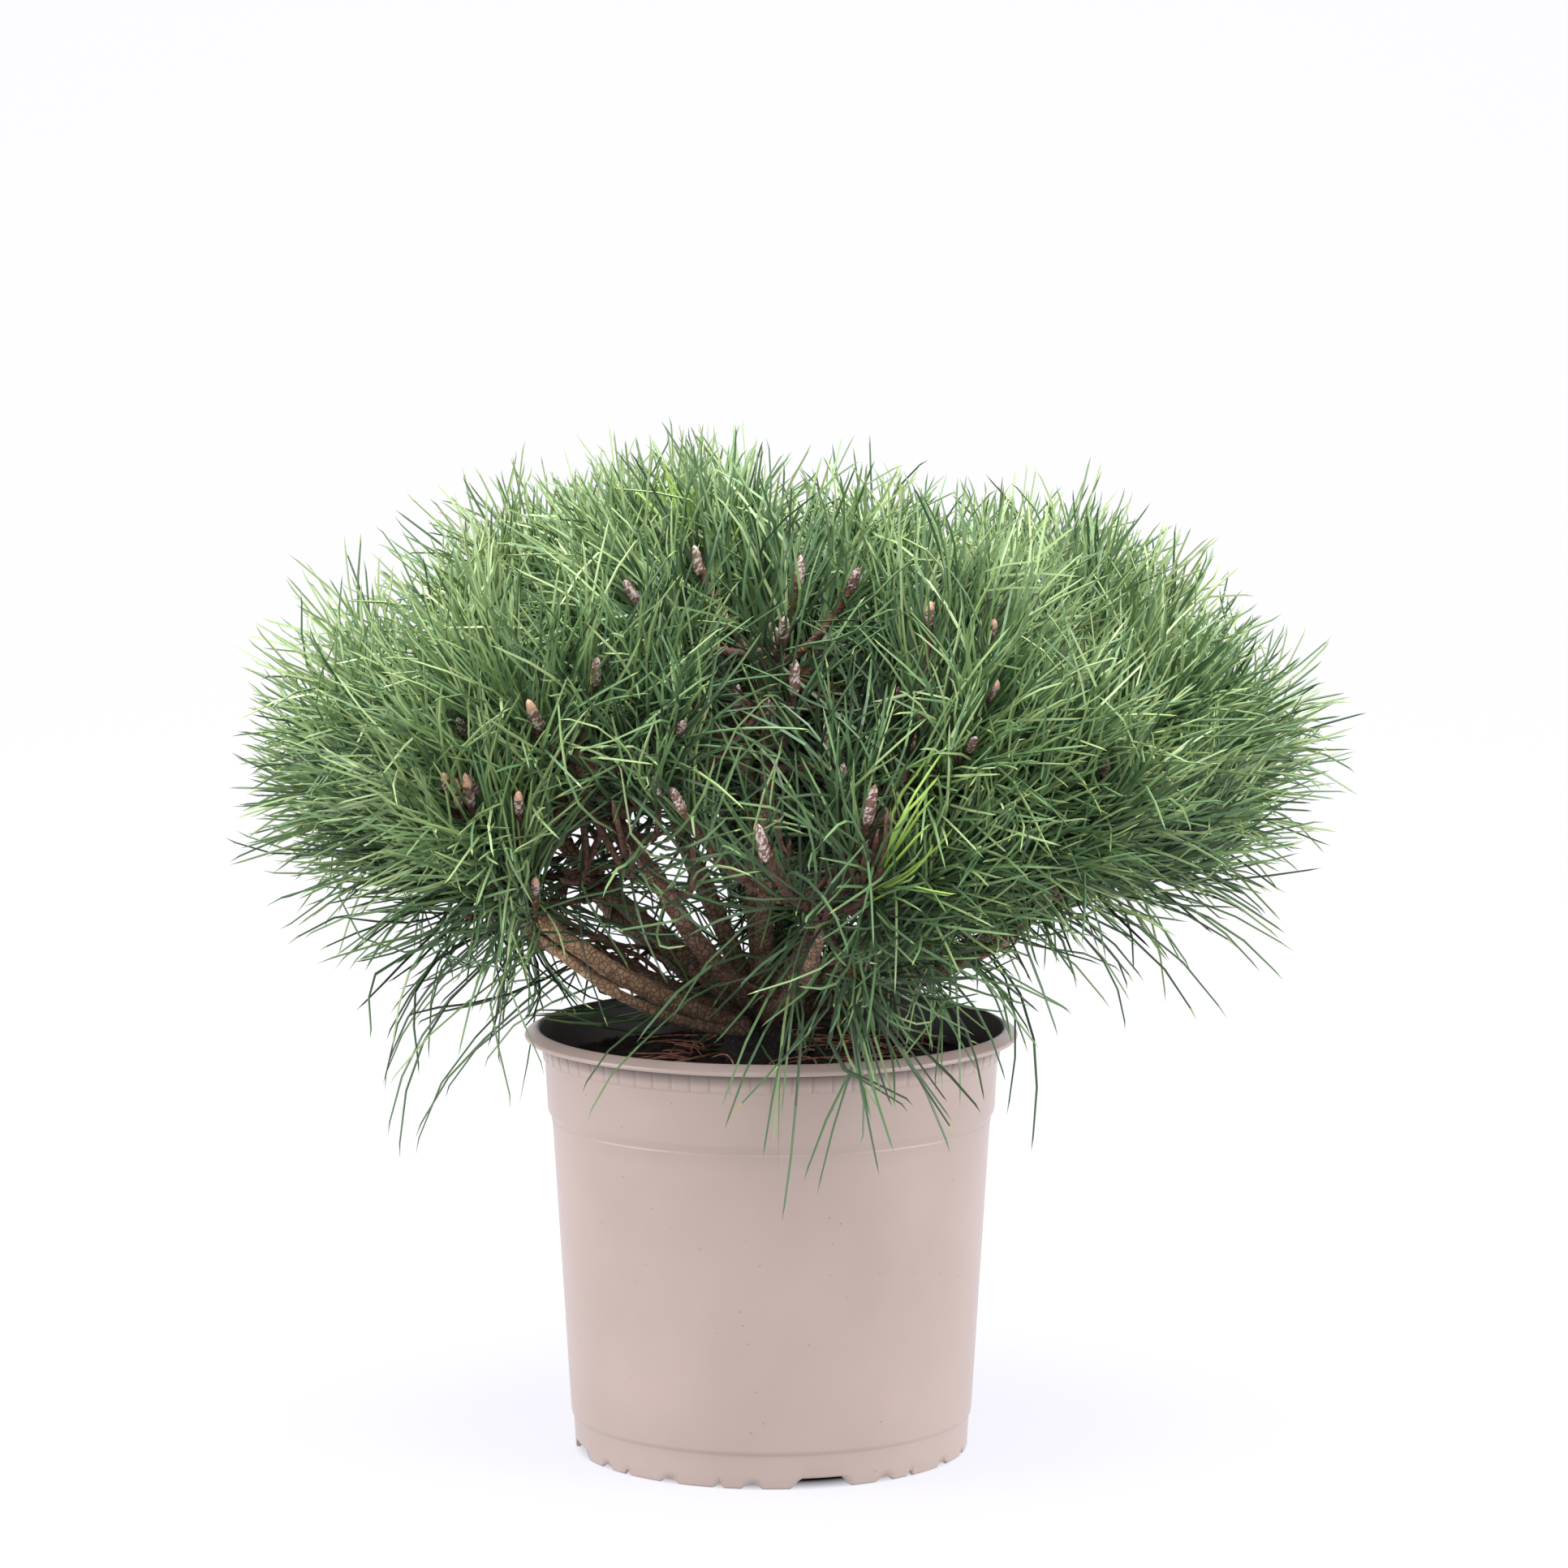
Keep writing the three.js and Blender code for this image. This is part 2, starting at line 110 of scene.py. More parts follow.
# Notches in the foot: degrees on from each quarter turn's wide one, the half angles of the
# opening at the bottom and the top, and the height.
FIRST_NOTCH = -75.6
NOTCHES = (
    (0.0, 8.7, 6.3, 5.0),
    (20.0, 2.3, 1.7, 2.4),
    (29.5, 1.3, 0.7, 2.8),
    (45.0, 3.1, 2.4, 2.0),
    (60.5, 1.3, 0.7, 2.8),
    (70.0, 2.3, 1.7, 2.4),
)

# The growth rule. The trunk, and the dome on which the shoots' buds lie.
GAP = 0.3
SEED = 20
BOUGH_SEED = SEED + 1000
TRUNK_AT = (-6.0, 2.0)
TRUNK_LEAN = (3.0, -2.0)
TRUNK_HEIGHT = 30.0
TRUNK_RADII = (21.0, 15.5, 13.5)
FORK = 0.72
DOME_CENTRE = np.array([5.0, 3.0, 292.0])
DOME_HALF_WIDTH = 224.0
DOME_HALF_DEPTH = 214.0
DOME_RISE = 146.0
DOME_DROP = 66.0
DOME_POWER = 2.5
DOME_LOWEST = math.radians(138)
CROWDING = 1.12
BUD_JITTER = 9.0
EVEN_STEP = (0.7548776662466927, 0.5698402909980532)

# Rings of boughs: name, count, first turn, sweep, dome angle, radius.
RINGS = (
    ("low", 8, 282, 290, 97, 6.2),
    ("mid", 6, 236, 300, 60, 5.6),
    ("top", 3, 265, 240, 27, 5.2),
    ("leader", 1, 200, 0, 4, 5.4),
)
BOUGH_END = 0.5
BOUGH_TAPER = 0.55
THINNEST = 0.85
THICKEST = 1.1
BOUGH_SAG = 9.0
BOUGH_JITTER = 5.0
STEM_REACH = 0.74
STEM_TIP_RADIUS = 2.4
LOW_STEM_DRAWN = np.array([0.8, 0.8, 1.0])
LOW_STEM_LIFT = 16.0
MASS_CENTRE = 0.78

# The part of a stem, as shares of its length, that twigs leave, how far back along its heading a
# twig bends, and how much longer it is than the straight way. Both are shares of that way.
TWIGS_FROM = 0.12
TWIGS_TO = 0.85
TWIG_BEND = 0.62
TWIG_SLACK = 1.07

# How far a listed shoot starts from its bud, and how far below it, at best.
WOOD_AWAY = 60.0
WOOD_BELOW = 15.0

# Open places under the crown: turn, half width, and the height of the bud that they end at.
WINDOWS = ((246, 19, 306), (110, 18, 288))
FRAME_SHOOTS = 134

# Shoots beyond the frame's own are left out further down than this, from 0 to 1.
INNER_LOWEST = 0.3

# They end inside the dome by at least this share of the depth set for them, and up to so much more.
INNER_LEAST = 0.4
INNER_SPREAD = 2.4

# How far shoots lean from upright, in degrees, at angles down the dome, and the share of that
# lean that shoots on the front and the back have, where they stand up more.
LEAN_AT = (0, 45, 70, 85, 97, 110, 138)
LEANS = (0, 26, 46, 62, 78, 92, 100)
FACING_LEAN = 0.5

# The lowest shoots draw in towards the trunk, by these shares at these angles down the dome and
# more on the right than on the left, and lift. Buds end unevenly, by up to so many millimetres.
DRAW_AT = (80, 95, 110, 138)
DRAWN_IN = (0, 0.12, 0.25, 0.4)
DRAWN_LEFT = 1.2
DRAWN_RIGHT = 1.45
LIFTED = 24.0
UNEVEN = 32.0

# The crown is flat on top, with a peak a little left of its middle, and has soft shoulders. The
# names that end in ENDS, FADES, AT and WIDTH are dome angles in radians, but for the peak's.
SINK = 24.0
SINK_ENDS = 0.85
SINK_FADES = 0.5
RAISE_ENDS = 1.5
RAISE_FADES = 0.4
SHOULDER_SINK = 3.0
SHOULDER_AT = 0.9
SHOULDER_WIDTH = 0.4
PEAK_AT = -36.0
PEAK_WIDTH = 36.0

# How far the buds stand above the dome, at these places across the crown.
ACROSS = (-215, -190, -165, -140, -110, -85, -60, 0, 10, 30, 66, 110, 150, 178, 198, 225)
RAISED = (-34, -23, -20, -12, 14, 14, -5, -12, -17, -14, -5, 0, 0, -12, -5, 8)

# Dome angles, in radians, from which needles start to droop and at which they droop in full.
DROOP_FROM = 1.5
DROOP_FULL = 2.35

# Shoots at the front that show by their buds: the bud's place, its length, how curly the needles
# round it are, and where some of them start, on the end of a broken bough.
STUB_END = (-108, -84, 264)
FRONT_BUDS = (
    ((-105, -158, 366), 17, 1.0),
    ((-138, -151, 331), 16, 1.0, STUB_END),
    ((-133, -155, 333), 17, 1.0, STUB_END),
    ((-143, -149, 334), 9, 1.0, STUB_END),
    ((-38, -186, 361), 9, 1.0),
    ((6, -146, 402), 13, 1.0),
    ((13, -96, 424), 14, 1.0),
    ((38, -110, 420), 13, 1.0),
    ((70, -132, 407), 11, 1.0),
    ((44, -192, 332), 19, 2.0),
    ((-5, -198, 316), 18, 2.0),
    ((88, -176, 353), 9, 1.0),
    ((-76, -152, 384), 14, 1.0),
    ((-42, -184, 331), 13, 1.5),
    ((-137, -138, 357), 9, 1.0),
    ((-110, -162, 327), 11, 1.2, STUB_END),
    ((-64, -104, 414), 13, 1.0),
    ((-34, -78, 427), 14, 1.0),
    ((98, -126, 399), 9, 1.0),
    ((147, -142, 339), 9, 1.0),
    ((98, -155, 375), 11, 1.0),
    ((-104, -136, 286), 9, 1.4, STUB_END),
)

# Those of them, by their place in the list, with pink tips, as the buds on the broken bough have.
PINK_TIPPED = (0, 8, 18, 20)

# The way that they point, on top of the way from their start.
FRONT_WAY = np.array([0, -0.1, 0.9])

# What a shoot has, unless it is given otherwise: how low on the dome it is, how curly, long and
# falling its needles are, how many pairs it has, and the length of a bud that shows.
PLAIN_SHOOT = {
    "lowness": 0.0,
    "curly": 1.0,
    "longer": 1.0,
    "fall": 0.0,
    "pairs": None,
    "bud_length": None,
    "hangs": False,
    "young": False,
    "covered": False,
    "pink": False,
    "inner": False,
}

# Sprays at the front whose buds are hidden: the place of the tip, and the way it points.
SPRAY = {"curly": 1.2, "covered": True}
FRONT_SPRAYS = (
    ((86, -186, 306), (0.5, -0.4, 0.7)),
    ((116, -160, 292), (0.8, -0.4, 0.4)),
    ((84, -168, 350), (0.4, -0.3, 0.8)),
)

# Tufts of short yellow-green needles, by the place of their tip.
TUFT = {"pairs": 12, "longer": 0.75, "curly": 0.6, "young": True, "covered": True}
TUFTS = ((50, -196, 326), (-40, -52, 432))

# Short shoots low down, whose long needles arch out and hang: the bud's place, the way it points,
# the number of needle pairs, how much longer than others its needles are, and how far they fall.
HANGING_SHOOT = {"hangs": True, "lowness": 1.0, "curly": 1.3}
HANGING = (
    ((-22, -104, 240), (-0.1, -0.9, 0.2), 1, 1.35, 1.6),
    ((14, -112, 246), (0.2, -0.9, 0.4), 3, 1.25, 1.8),
    ((34, -112, 246), (0.5, -0.8, 0.4), 5, 1.25, 1.9),
    ((58, -98, 248), (0.7, -0.7, 0.4), 5, 1.2, 1.9),
    ((84, -72, 250), (0.8, -0.6, 0.1), 4, 1.2, 1.2),
    ((108, -60, 256), (0.9, -0.4, -0.25), 4, 1.25, 0.5),
    ((124, -30, 262), (1.0, -0.1, -0.25), 4, 1.4, 0.4),
    ((148, 10, 268), (1.0, 0.1, -0.15), 4, 1.4, 0.4),
    ((104, -4, 244), (0.8, -0.1, -0.5), 3, 1.25, 0.5),
    ((-104, -70, 252), (-0.95, -0.2, -0.15), 3, 1.4, 0.35),
    ((-112, -46, 246), (-0.9, -0.1, -0.4), 4, 1.45, 0.35),
    ((-122, -20, 246), (-0.85, 0.0, -0.5), 5, 1.45, 0.35),
    ((-142, -60, 258), (-1.0, -0.1, -0.15), 5, 1.3, 0.45),
    ((-132, -30, 250), (-1.0, 0.0, -0.3), 4, 1.4, 0.45),
    ((-98, -30, 232), (-0.8, -0.1, -0.6), 4, 1.5, 0.4),
    ((-90, 30, 228), (-0.9, 0.2, -0.35), 3, 1.5, 0.4),
    ((-60, 20, 216), (-1.0, 0.1, 0.05), 5, 1.4, 1.0),
    ((-66, 74, 240), (-0.7, 0.7, 0.2), 8, 1.2, 1.4),
    ((10, 88, 240), (0.1, 1.0, 0.3), 8, 1.2, 1.6),
    ((70, 70, 240), (0.8, 0.6, 0.2), 8, 1.2, 1.6),
)

# The share of a bud's faces that are white with resin, and the ring above which a tip is pink.
WHITE_SCALES = 0.36
PINK_ABOVE = 6

# Openings that the sky or the dark wood shows through, as the photograph's camera sees them in the
# plane of the pot's axis: centre, half sizes, the share of the needles across it that stay, and
# how far back, along y, the opening goes.
OPENINGS = (
    ((-66, 264), (42, 33), 0.08, 300),
    ((-60, 236), (36, 24), 0.12, 300),
    ((-74, 230), (36, 24), 0.06, -52),
    ((-172, 240), (44, 22), 0.28, 300),
    ((-142, 208), (44, 18), 0.4, 300),
    ((104, 218), (60, 12), 0.4, 300),
    ((-112, 192), (34, 18), 0.5, 300),
    ((4, 356), (30, 34), 0.2, -84),
    ((8, 262), (34, 36), 0.1, -60),
    ((6, 328), (36, 24), 0.35, -104),
)

# The bare stems of the fork at the front, as the camera sees them: places that all needles leave
# open, and the half sizes, the share that stays and how far back of each.
STEMS_SHOWN = ((48, 286), (45, 274), (37, 263), (27, 252), (0, 272), (6, 256))
STEM_OPENING = ((5.5, 8), 0.15, -150)

# The opening round each bud at the front: its half sizes, as shares of the bud's length, how far
# below the tip its middle is, as such a share, how far behind the bud it ends, and the share of the
# needles that stay.
BUD_OPENING = np.array([0.42, 0.72])
BUD_OPENING_DOWN = 0.3
BUD_OPENING_BACK = 2.0
BUD_CROSSING = 0.05

# Shoots on the dome have a bud from this height up. From this curliness on, a shoot has a thick bare
# twig, and needles that cross the openings and are as deep a green as those that hang.
BUDS_ABOVE = 330.0
CURLY = 2.0

# The camera that fits the photograph, in millimetres and radians, and its long lens.
CAMERA_BACK = 2582.0
CAMERA_HEIGHT = 624.8
CAMERA_PITCH = 0.12046
CAMERA_YAW = -0.0023
CAMERA_LENS = 128.6
CAMERA_SENSOR = 36.0

PIECE_TRIANGLES = 190000


def seeded(seed):
    """Random numbers from 0 to 1, the same ones as the frame's rule draws for that seed."""
    state = seed & MASK

    def draw():
        nonlocal state
        state = (state + 0x6D2B79F5) & MASK
        bits = ((state ^ (state >> 15)) * (state | 1)) & MASK
        bits ^= (bits + ((bits ^ (bits >> 7)) * (bits | 61) & MASK)) & MASK
        return ((bits ^ (bits >> 14)) & MASK) / 4294967296

    return draw


def mix(low, high, share):
    return low + (high - low) * share


def unit(vectors):
    """The vectors along the last axis, brought to length 1."""
    return vectors / np.maximum(np.linalg.norm(vectors, axis=-1, keepdims=True), 1e-9)


def bezier(ends, share):
    """Points on a curve through three control points, at shares from 0 to 1."""
    start, bend, finish = ends
    t = np.asarray(share, float)[..., None]
    return (1 - t) ** 2 * start + 2 * t * (1 - t) * bend + t**2 * finish


def smoothstep(value, low, high):
    t = min(max((value - low) / (high - low), 0.0), 1.0)
    return t * t * (3 - 2 * t)


def linear(code):
    """An sRGB hex colour, such as 8A6B4F, as the linear red, green and blue that Blender takes."""
    channels = [int(code[i : i + 2], 16) / 255 for i in (0, 2, 4)]
    return tuple(c / 12.92 if c <= 0.04045 else ((c + 0.055) / 1.055) ** 2.4 for c in channels)


def per_mm(size):
    """The scale of a texture whose features are that many millimetres apart."""
    return 1 / (size * MM)


# The growth rule, as in the frame.


def dome_profile(angle):
    out = math.sin(angle) ** (2 / DOME_POWER)
    lift = abs(math.cos(angle)) ** (2 / DOME_POWER)
    return out, lift * DOME_RISE if math.cos(angle) >= 0 else -lift * DOME_DROP


def dome_point(angle, turn):
    out, up = dome_profile(angle)
    across = DOME_HALF_WIDTH * out * math.cos(turn)
    along = DOME_HALF_DEPTH * out * math.sin(turn)
    return DOME_CENTRE + np.array([across, along, up])


def dome_areas(steps=90):
    """Angles down the dome, and its area from the top down to each."""
    angles = [DOME_LOWEST * i / steps for i in range(steps + 1)]
    areas = [0.0]
    for upper, lower in zip(angles, angles[1:]):
        (out_a, up_a), (out_b, up_b) = dome_profile(upper), dome_profile(lower)
        slope = math.hypot((out_b - out_a) * DOME_HALF_WIDTH, up_b - up_a)
        areas.append(areas[-1] + slope * (out_a + out_b) / 2)
    return angles, areas


def trunk_ends():
    foot = np.array([*TRUNK_AT, SOIL_TOP + GAP])
    rise = np.array([0, 0, TRUNK_HEIGHT])
    return foot, foot + rise / 2, foot + rise + np.array([*TRUNK_LEAN, 0])


def trunk_radius(along):
    foot, waist, head = TRUNK_RADII
    return mix(waist, head, along) + (foot - waist) * (1 - along) ** 4


def grow_boughs():
    """Each bough's name, curve, end radii, aim and mass centre."""
    head = bezier(trunk_ends(), FORK)
    boughs = []
    for name, count, first, sweep, angle, thickness in RINGS:
        for i in range(count):
            draw = seeded(BOUGH_SEED + len(boughs))
            swing = (draw() - 0.5) * 2 * BOUGH_JITTER
            turn = math.radians(first + sweep * i / max(1, count - 1) + swing)
            aim = dome_point(math.radians(angle + (draw() - 0.5) * BOUGH_JITTER), turn)
            end = mix(head, aim, BOUGH_END)
            bend = mix(head, end, 0.5)
            bend[2] -= BOUGH_SAG * math.sin(math.radians(angle))
            radius = thickness * mix(THINNEST, THICKEST, draw())
            onward = unit(end - bend)
            stem_start = end + onward * GAP
            stem_end = mix(end, aim, STEM_REACH)
            if name == "low":
                stem_end = stem_end * LOW_STEM_DRAWN + np.array([0, 0, LOW_STEM_LIFT])
            reach = np.linalg.norm(stem_end - stem_start)
            bough = {
                "name": f"{name}_{i + 1}",
                "curve": (head, bend, end),
                "stem": (stem_start, stem_start + onward * reach / 2, stem_end),
                "radii": (radius, radius * BOUGH_TAPER),
                "centre": mix(head, aim, MASS_CENTRE),
            }
            boughs.append(bough)
    return boughs


def in_window(turn, height):
    degrees = math.degrees(turn)
    for at, half, floor in WINDOWS:
        away = abs((degrees - at + 540) % 360 - 180)
        if away < half and height < floor:
            return True
    return False


def new_shoot(own, start, bud, heading, seed, **more):
    """A shoot of a bough's mass, from a place on the wood to its bud, with its random numbers."""
    reach = np.linalg.norm(bud - start)
    shoot = {
        "mass": own,
        "bud": bud,
        "heading": heading,
        "curve": (start, bud - heading * TWIG_BEND * reach, bud),
        "length": reach * TWIG_SLACK,
        "rng": np.random.default_rng(seed),
    }
    return {**PLAIN_SHOOT, **shoot, **more}


def nearest_wood(boughs, place):
    """The bough nearest a place, and the nearest point on its limb or stem short of the place."""
    best = None
    for own, bough in enumerate(boughs):
        limb = bezier(bough["curve"], np.linspace(0.35, 1, 14))
        stem = bezier(bough["stem"], np.linspace(0, TWIGS_TO, 10))
        line = np.concatenate([limb, stem])
        away = np.linalg.norm(line - place, axis=1)
        wrong = np.abs(away - WOOD_AWAY) + np.maximum(line[:, 2] - place[2] + WOOD_BELOW, 0)
        i = int(np.argmin(wrong))
        if best is None or wrong[i] < best[0]:
            best = (wrong[i], own, line[i])
    return best[1], best[2]


def placed_shoot(boughs, seed, place, way=None, start=None, **more):
    """A listed shoot, on the nearest wood unless it has a start, and pointing the front
    shoots' way unless it has its own."""
    bud = np.array(place, float)
    own, wood = nearest_wood(boughs, bud)
    start = wood if start is None else np.array(start, float)
    heading = unit(bud - start) + FRONT_WAY if way is None else np.array(way, float)
    return new_shoot(own, start, bud, unit(heading), seed, **more)


def move_to_outline(bud, angle, turn, low):
    """Moves a bud from its place on the dome to the plant's own outline."""
    side = mix(DRAWN_LEFT, DRAWN_RIGHT, (1 + math.cos(turn)) / 2)
    bud[:2] *= 1 - np.interp(math.degrees(angle), DRAW_AT, DRAWN_IN) * side
    bud[2] += LIFTED * low
    flat = 1 - math.exp(-(((bud[0] - PEAK_AT) / PEAK_WIDTH) ** 2))
    bud[2] -= SINK * flat * smoothstep(SINK_ENDS - angle, 0, SINK_FADES)
    bud[2] += np.interp(bud[0], ACROSS, RAISED) * smoothstep(RAISE_ENDS - angle, 0, RAISE_FADES)


def shoot_heading(angle, turn):
    """The way that a shoot on the dome points."""
    sideways = smoothstep(abs(math.cos(turn)), 0.2, 0.75)
    tilt = math.radians(np.interp(math.degrees(angle), LEAN_AT, LEANS))
    tilt *= mix(FACING_LEAN, 1.0, sideways)
    out = math.sin(tilt)
    return np.array([out * math.cos(turn), out * math.sin(turn), math.cos(tilt)])


def grow_shoots(boughs, count, inner_depth):
    """The frame's shoots, finer ones whose buds lie inside the dome, and the listed ones."""
    angles, areas = dome_areas()
    centres = np.array([bough["centre"] for bough in boughs])
    shoots = []
    for number in range(count):
        draw = seeded(SEED + number)
        turn = 2 * math.pi * ((0.5 + number * EVEN_STEP[0]) % 1)
        share = ((0.5 + number * EVEN_STEP[1]) % 1) ** CROWDING
        angle = float(np.interp(share * areas[-1], areas, angles))
        jitter = np.array([draw(), draw(), draw()]) - 0.5
        bud = dome_point(angle, turn) + jitter * 2 * BUD_JITTER
        low = smoothstep(math.degrees(angle), DRAW_AT[0], DRAW_AT[-1])
        move_to_outline(bud, angle, turn, low)
        inner = number >= FRAME_SHOOTS
        if (inner and low > INNER_LOWEST) or in_window(turn, bud[2]):
            continue
        own = int(np.argmin(((centres - bud) ** 2).sum(1)))
        start = bezier(boughs[own]["stem"], mix(TWIGS_FROM, TWIGS_TO, draw()))
        heading = shoot_heading(angle, turn)
        shoulder = math.exp(-(((angle - SHOULDER_AT) / SHOULDER_WIDTH) ** 2))
        bud = bud - heading * SHOULDER_SINK * shoulder
        depth = inner_depth * (INNER_LEAST + INNER_SPREAD * draw()) if inner else UNEVEN * draw()
        bud = bud - heading * depth
        lowness = smoothstep(angle, DROOP_FROM, DROOP_FULL)
        more = {"lowness": lowness, "inner": inner}
        shoots.append(new_shoot(own, start, bud, heading, SEED + number, **more))
    for i, (place, bud_length, curly, *start) in enumerate(FRONT_BUDS):
        more = {"bud_length": bud_length, "curly": curly, "pink": bool(start) or i in PINK_TIPPED}
        shoots.append(placed_shoot(boughs, 5000 + i, place, None, *start, **more))
    for i, (place, way) in enumerate(FRONT_SPRAYS):
        shoots.append(placed_shoot(boughs, 8000 + i, place, way, **SPRAY))
    for i, place in enumerate(TUFTS):
        shoots.append(placed_shoot(boughs, 7000 + i, place, (0, 0, 1), **TUFT))
    for i, (place, way, pairs, longer, fall) in enumerate(HANGING):
        more = {"pairs": pairs, "longer": longer, "fall": fall, **HANGING_SHOOT}
        shoots.append(placed_shoot(boughs, 6000 + i, place, way, **more))
    return shoots


# Meshes from arrays, for what repeats thousands of times.


def tubes(paths, radii, flatness=1.0):
    """Tapered tubes that close in a point. paths is (tubes, rings + 1, 3) and radii is
    (tubes, rings, sides). Gives vertices, triangles, and each triangle's tube and ring."""
    count, rings, sides = radii.shape
    tangent = unit(np.gradient(paths, axis=1))
    bend = paths[:, -1] - paths[:, 0] - (paths[:, 1] - paths[:, 0]) * rings
    side = unit(np.cross(tangent[:, 0], unit(bend) + np.array([0.013, 0.029, 0.041])))
    side = side[:, None] - (side[:, None] * tangent).sum(-1, keepdims=True) * tangent
    side = unit(side)[:, :rings]
    up = np.cross(tangent[:, :rings], side) * flatness
    turns = 2 * np.pi * np.arange(sides) / sides
    across = np.cos(turns)[:, None] * side[:, :, None]
    across = across + np.sin(turns)[:, None] * up[:, :, None]
    corners = paths[:, :rings, None] + across * radii[..., None]
    per_tube = rings * sides + 1
    points = np.concatenate([corners.reshape(count, -1, 3), paths[:, -1:]], axis=1)
    faces, ring_of = [], []
    for ring in range(rings - 1):
        for s in range(sides):
            a, b = ring * sides + s, ring * sides + (s + 1) % sides
            faces += [(a, b, b + sides), (a, b + sides, a + sides)]
            ring_of += [ring, ring]
    last = (rings - 1) * sides
    for s in range(sides):
        faces.append((last + s, last + (s + 1) % sides, rings * sides))
        ring_of.append(rings - 1)
    for s in range(1, sides - 1):
        faces.append((0, s + 1, s))
        ring_of.append(0)
    faces = np.array(faces)[None] + (np.arange(count) * per_tube)[:, None, None]
    tube_of = np.repeat(np.arange(count), len(ring_of))
    return points.reshape(-1, 3), faces.reshape(-1, 3), tube_of, np.tile(ring_of, count)


def mesh_piece(name, points, triangles, materials, indices, smooth=True):
    """An object from arrays of points, in millimetres, and triangles."""
    mesh = bpy.data.meshes.new(name)
    mesh.vertices.add(len(points))
    mesh.vertices.foreach_set("co", (points * MM).astype(np.float32).ravel())
    mesh.loops.add(triangles.size)
    mesh.loops.foreach_set("vertex_index", triangles.astype(np.int32).ravel())
    mesh.polygons.add(len(triangles))
    mesh.polygons.foreach_set("loop_start", np.arange(0, triangles.size, 3, dtype=np.int32))
    for material in materials:
        mesh.materials.append(material)
    mesh.polygons.foreach_set("material_index", np.asarray(indices, np.int32))
    mesh.polygons.foreach_set("use_smooth", np.full(len(triangles), smooth))
    mesh.update(calc_edges=True)
    return link(name, mesh)


def link(name, data):
    """An object in the scene, from a mesh, a light or a camera."""
    piece = bpy.data.objects.new(name, data)
    bpy.context.scene.collection.objects.link(piece)
    return piece


def piece_from(name, bm, *materials):
    """Turns a bmesh in millimetres into a smooth-shaded object in metres."""
    bmesh.ops.scale(bm, vec=(MM, MM, MM), verts=bm.verts)
    for face in bm.faces:
        face.smooth = True
    mesh = bpy.data.meshes.new(name)
    bm.to_mesh(mesh)
    bm.free()
    for material in materials:
        mesh.materials.append(material)
    return link(name, mesh)


def dress(piece, slot, *nodes):
    """Lets a piece ride on the plant's one body, in place of its nodes. The slot is not used."""
    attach(piece, BODY)
    if nodes:
        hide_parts(*nodes)


# Materials.


def add_node(tree, kind, settings=None, values=None, links=None, output=0):
    """Adds a shader node, with its settings, its sockets' values and its incoming links, and gives
    one of its outputs."""
    made = tree.nodes.new(f"ShaderNode{kind}")
    for name, value in (settings or {}).items():
        setattr(made, name, value)
    for socket, value in (values or {}).items():
        made.inputs[socket].default_value = value
    for socket, source in (links or {}).items():
        tree.links.new(source, made.inputs[socket])
    return made.outputs[output]


def new_material(name):
    """A material that has no shader yet, its node tree, and its Object coordinates."""
    material = bpy.data.materials.new(name)
    material.use_nodes = True
    material.node_tree.nodes.clear()
    return material, material.node_tree, add_node(material.node_tree, "TexCoord", output="Object")


def add_shader(material, values, links):
    """Gives a material its Principled shader, with that shader's values and links."""
    tree = material.node_tree
    shader = add_node(tree, "BsdfPrincipled", None, values, links)
    tree.links.new(shader, tree.nodes.new("ShaderNodeOutputMaterial").inputs["Surface"])
    return material


def set_stops(ramp, *stops):
    """Puts (place, linear colour) stops on the colour ramp that an output belongs to."""
    elements = ramp.node.color_ramp.elements
    while len(elements) < len(stops):
        elements.new(0.5)
    for element, (place, colour) in zip(elements, stops):
        element.position = place
        element.color = (*colour, 1)


def from_axis(tree, coords):
    """A node output with the distance from the pot's axis."""
    flat = add_node(tree, "VectorMath", {"operation": "MULTIPLY"}, {1: (1, 1, 0)}, {0: coords})
    return add_node(tree, "VectorMath", {"operation": "LENGTH"}, None, {0: flat}, "Value")


# The sockets of a colour mix: its share, its two colours, and its result.
SHARE, FIRST, SECOND, MIXED = 0, 6, 7, 2


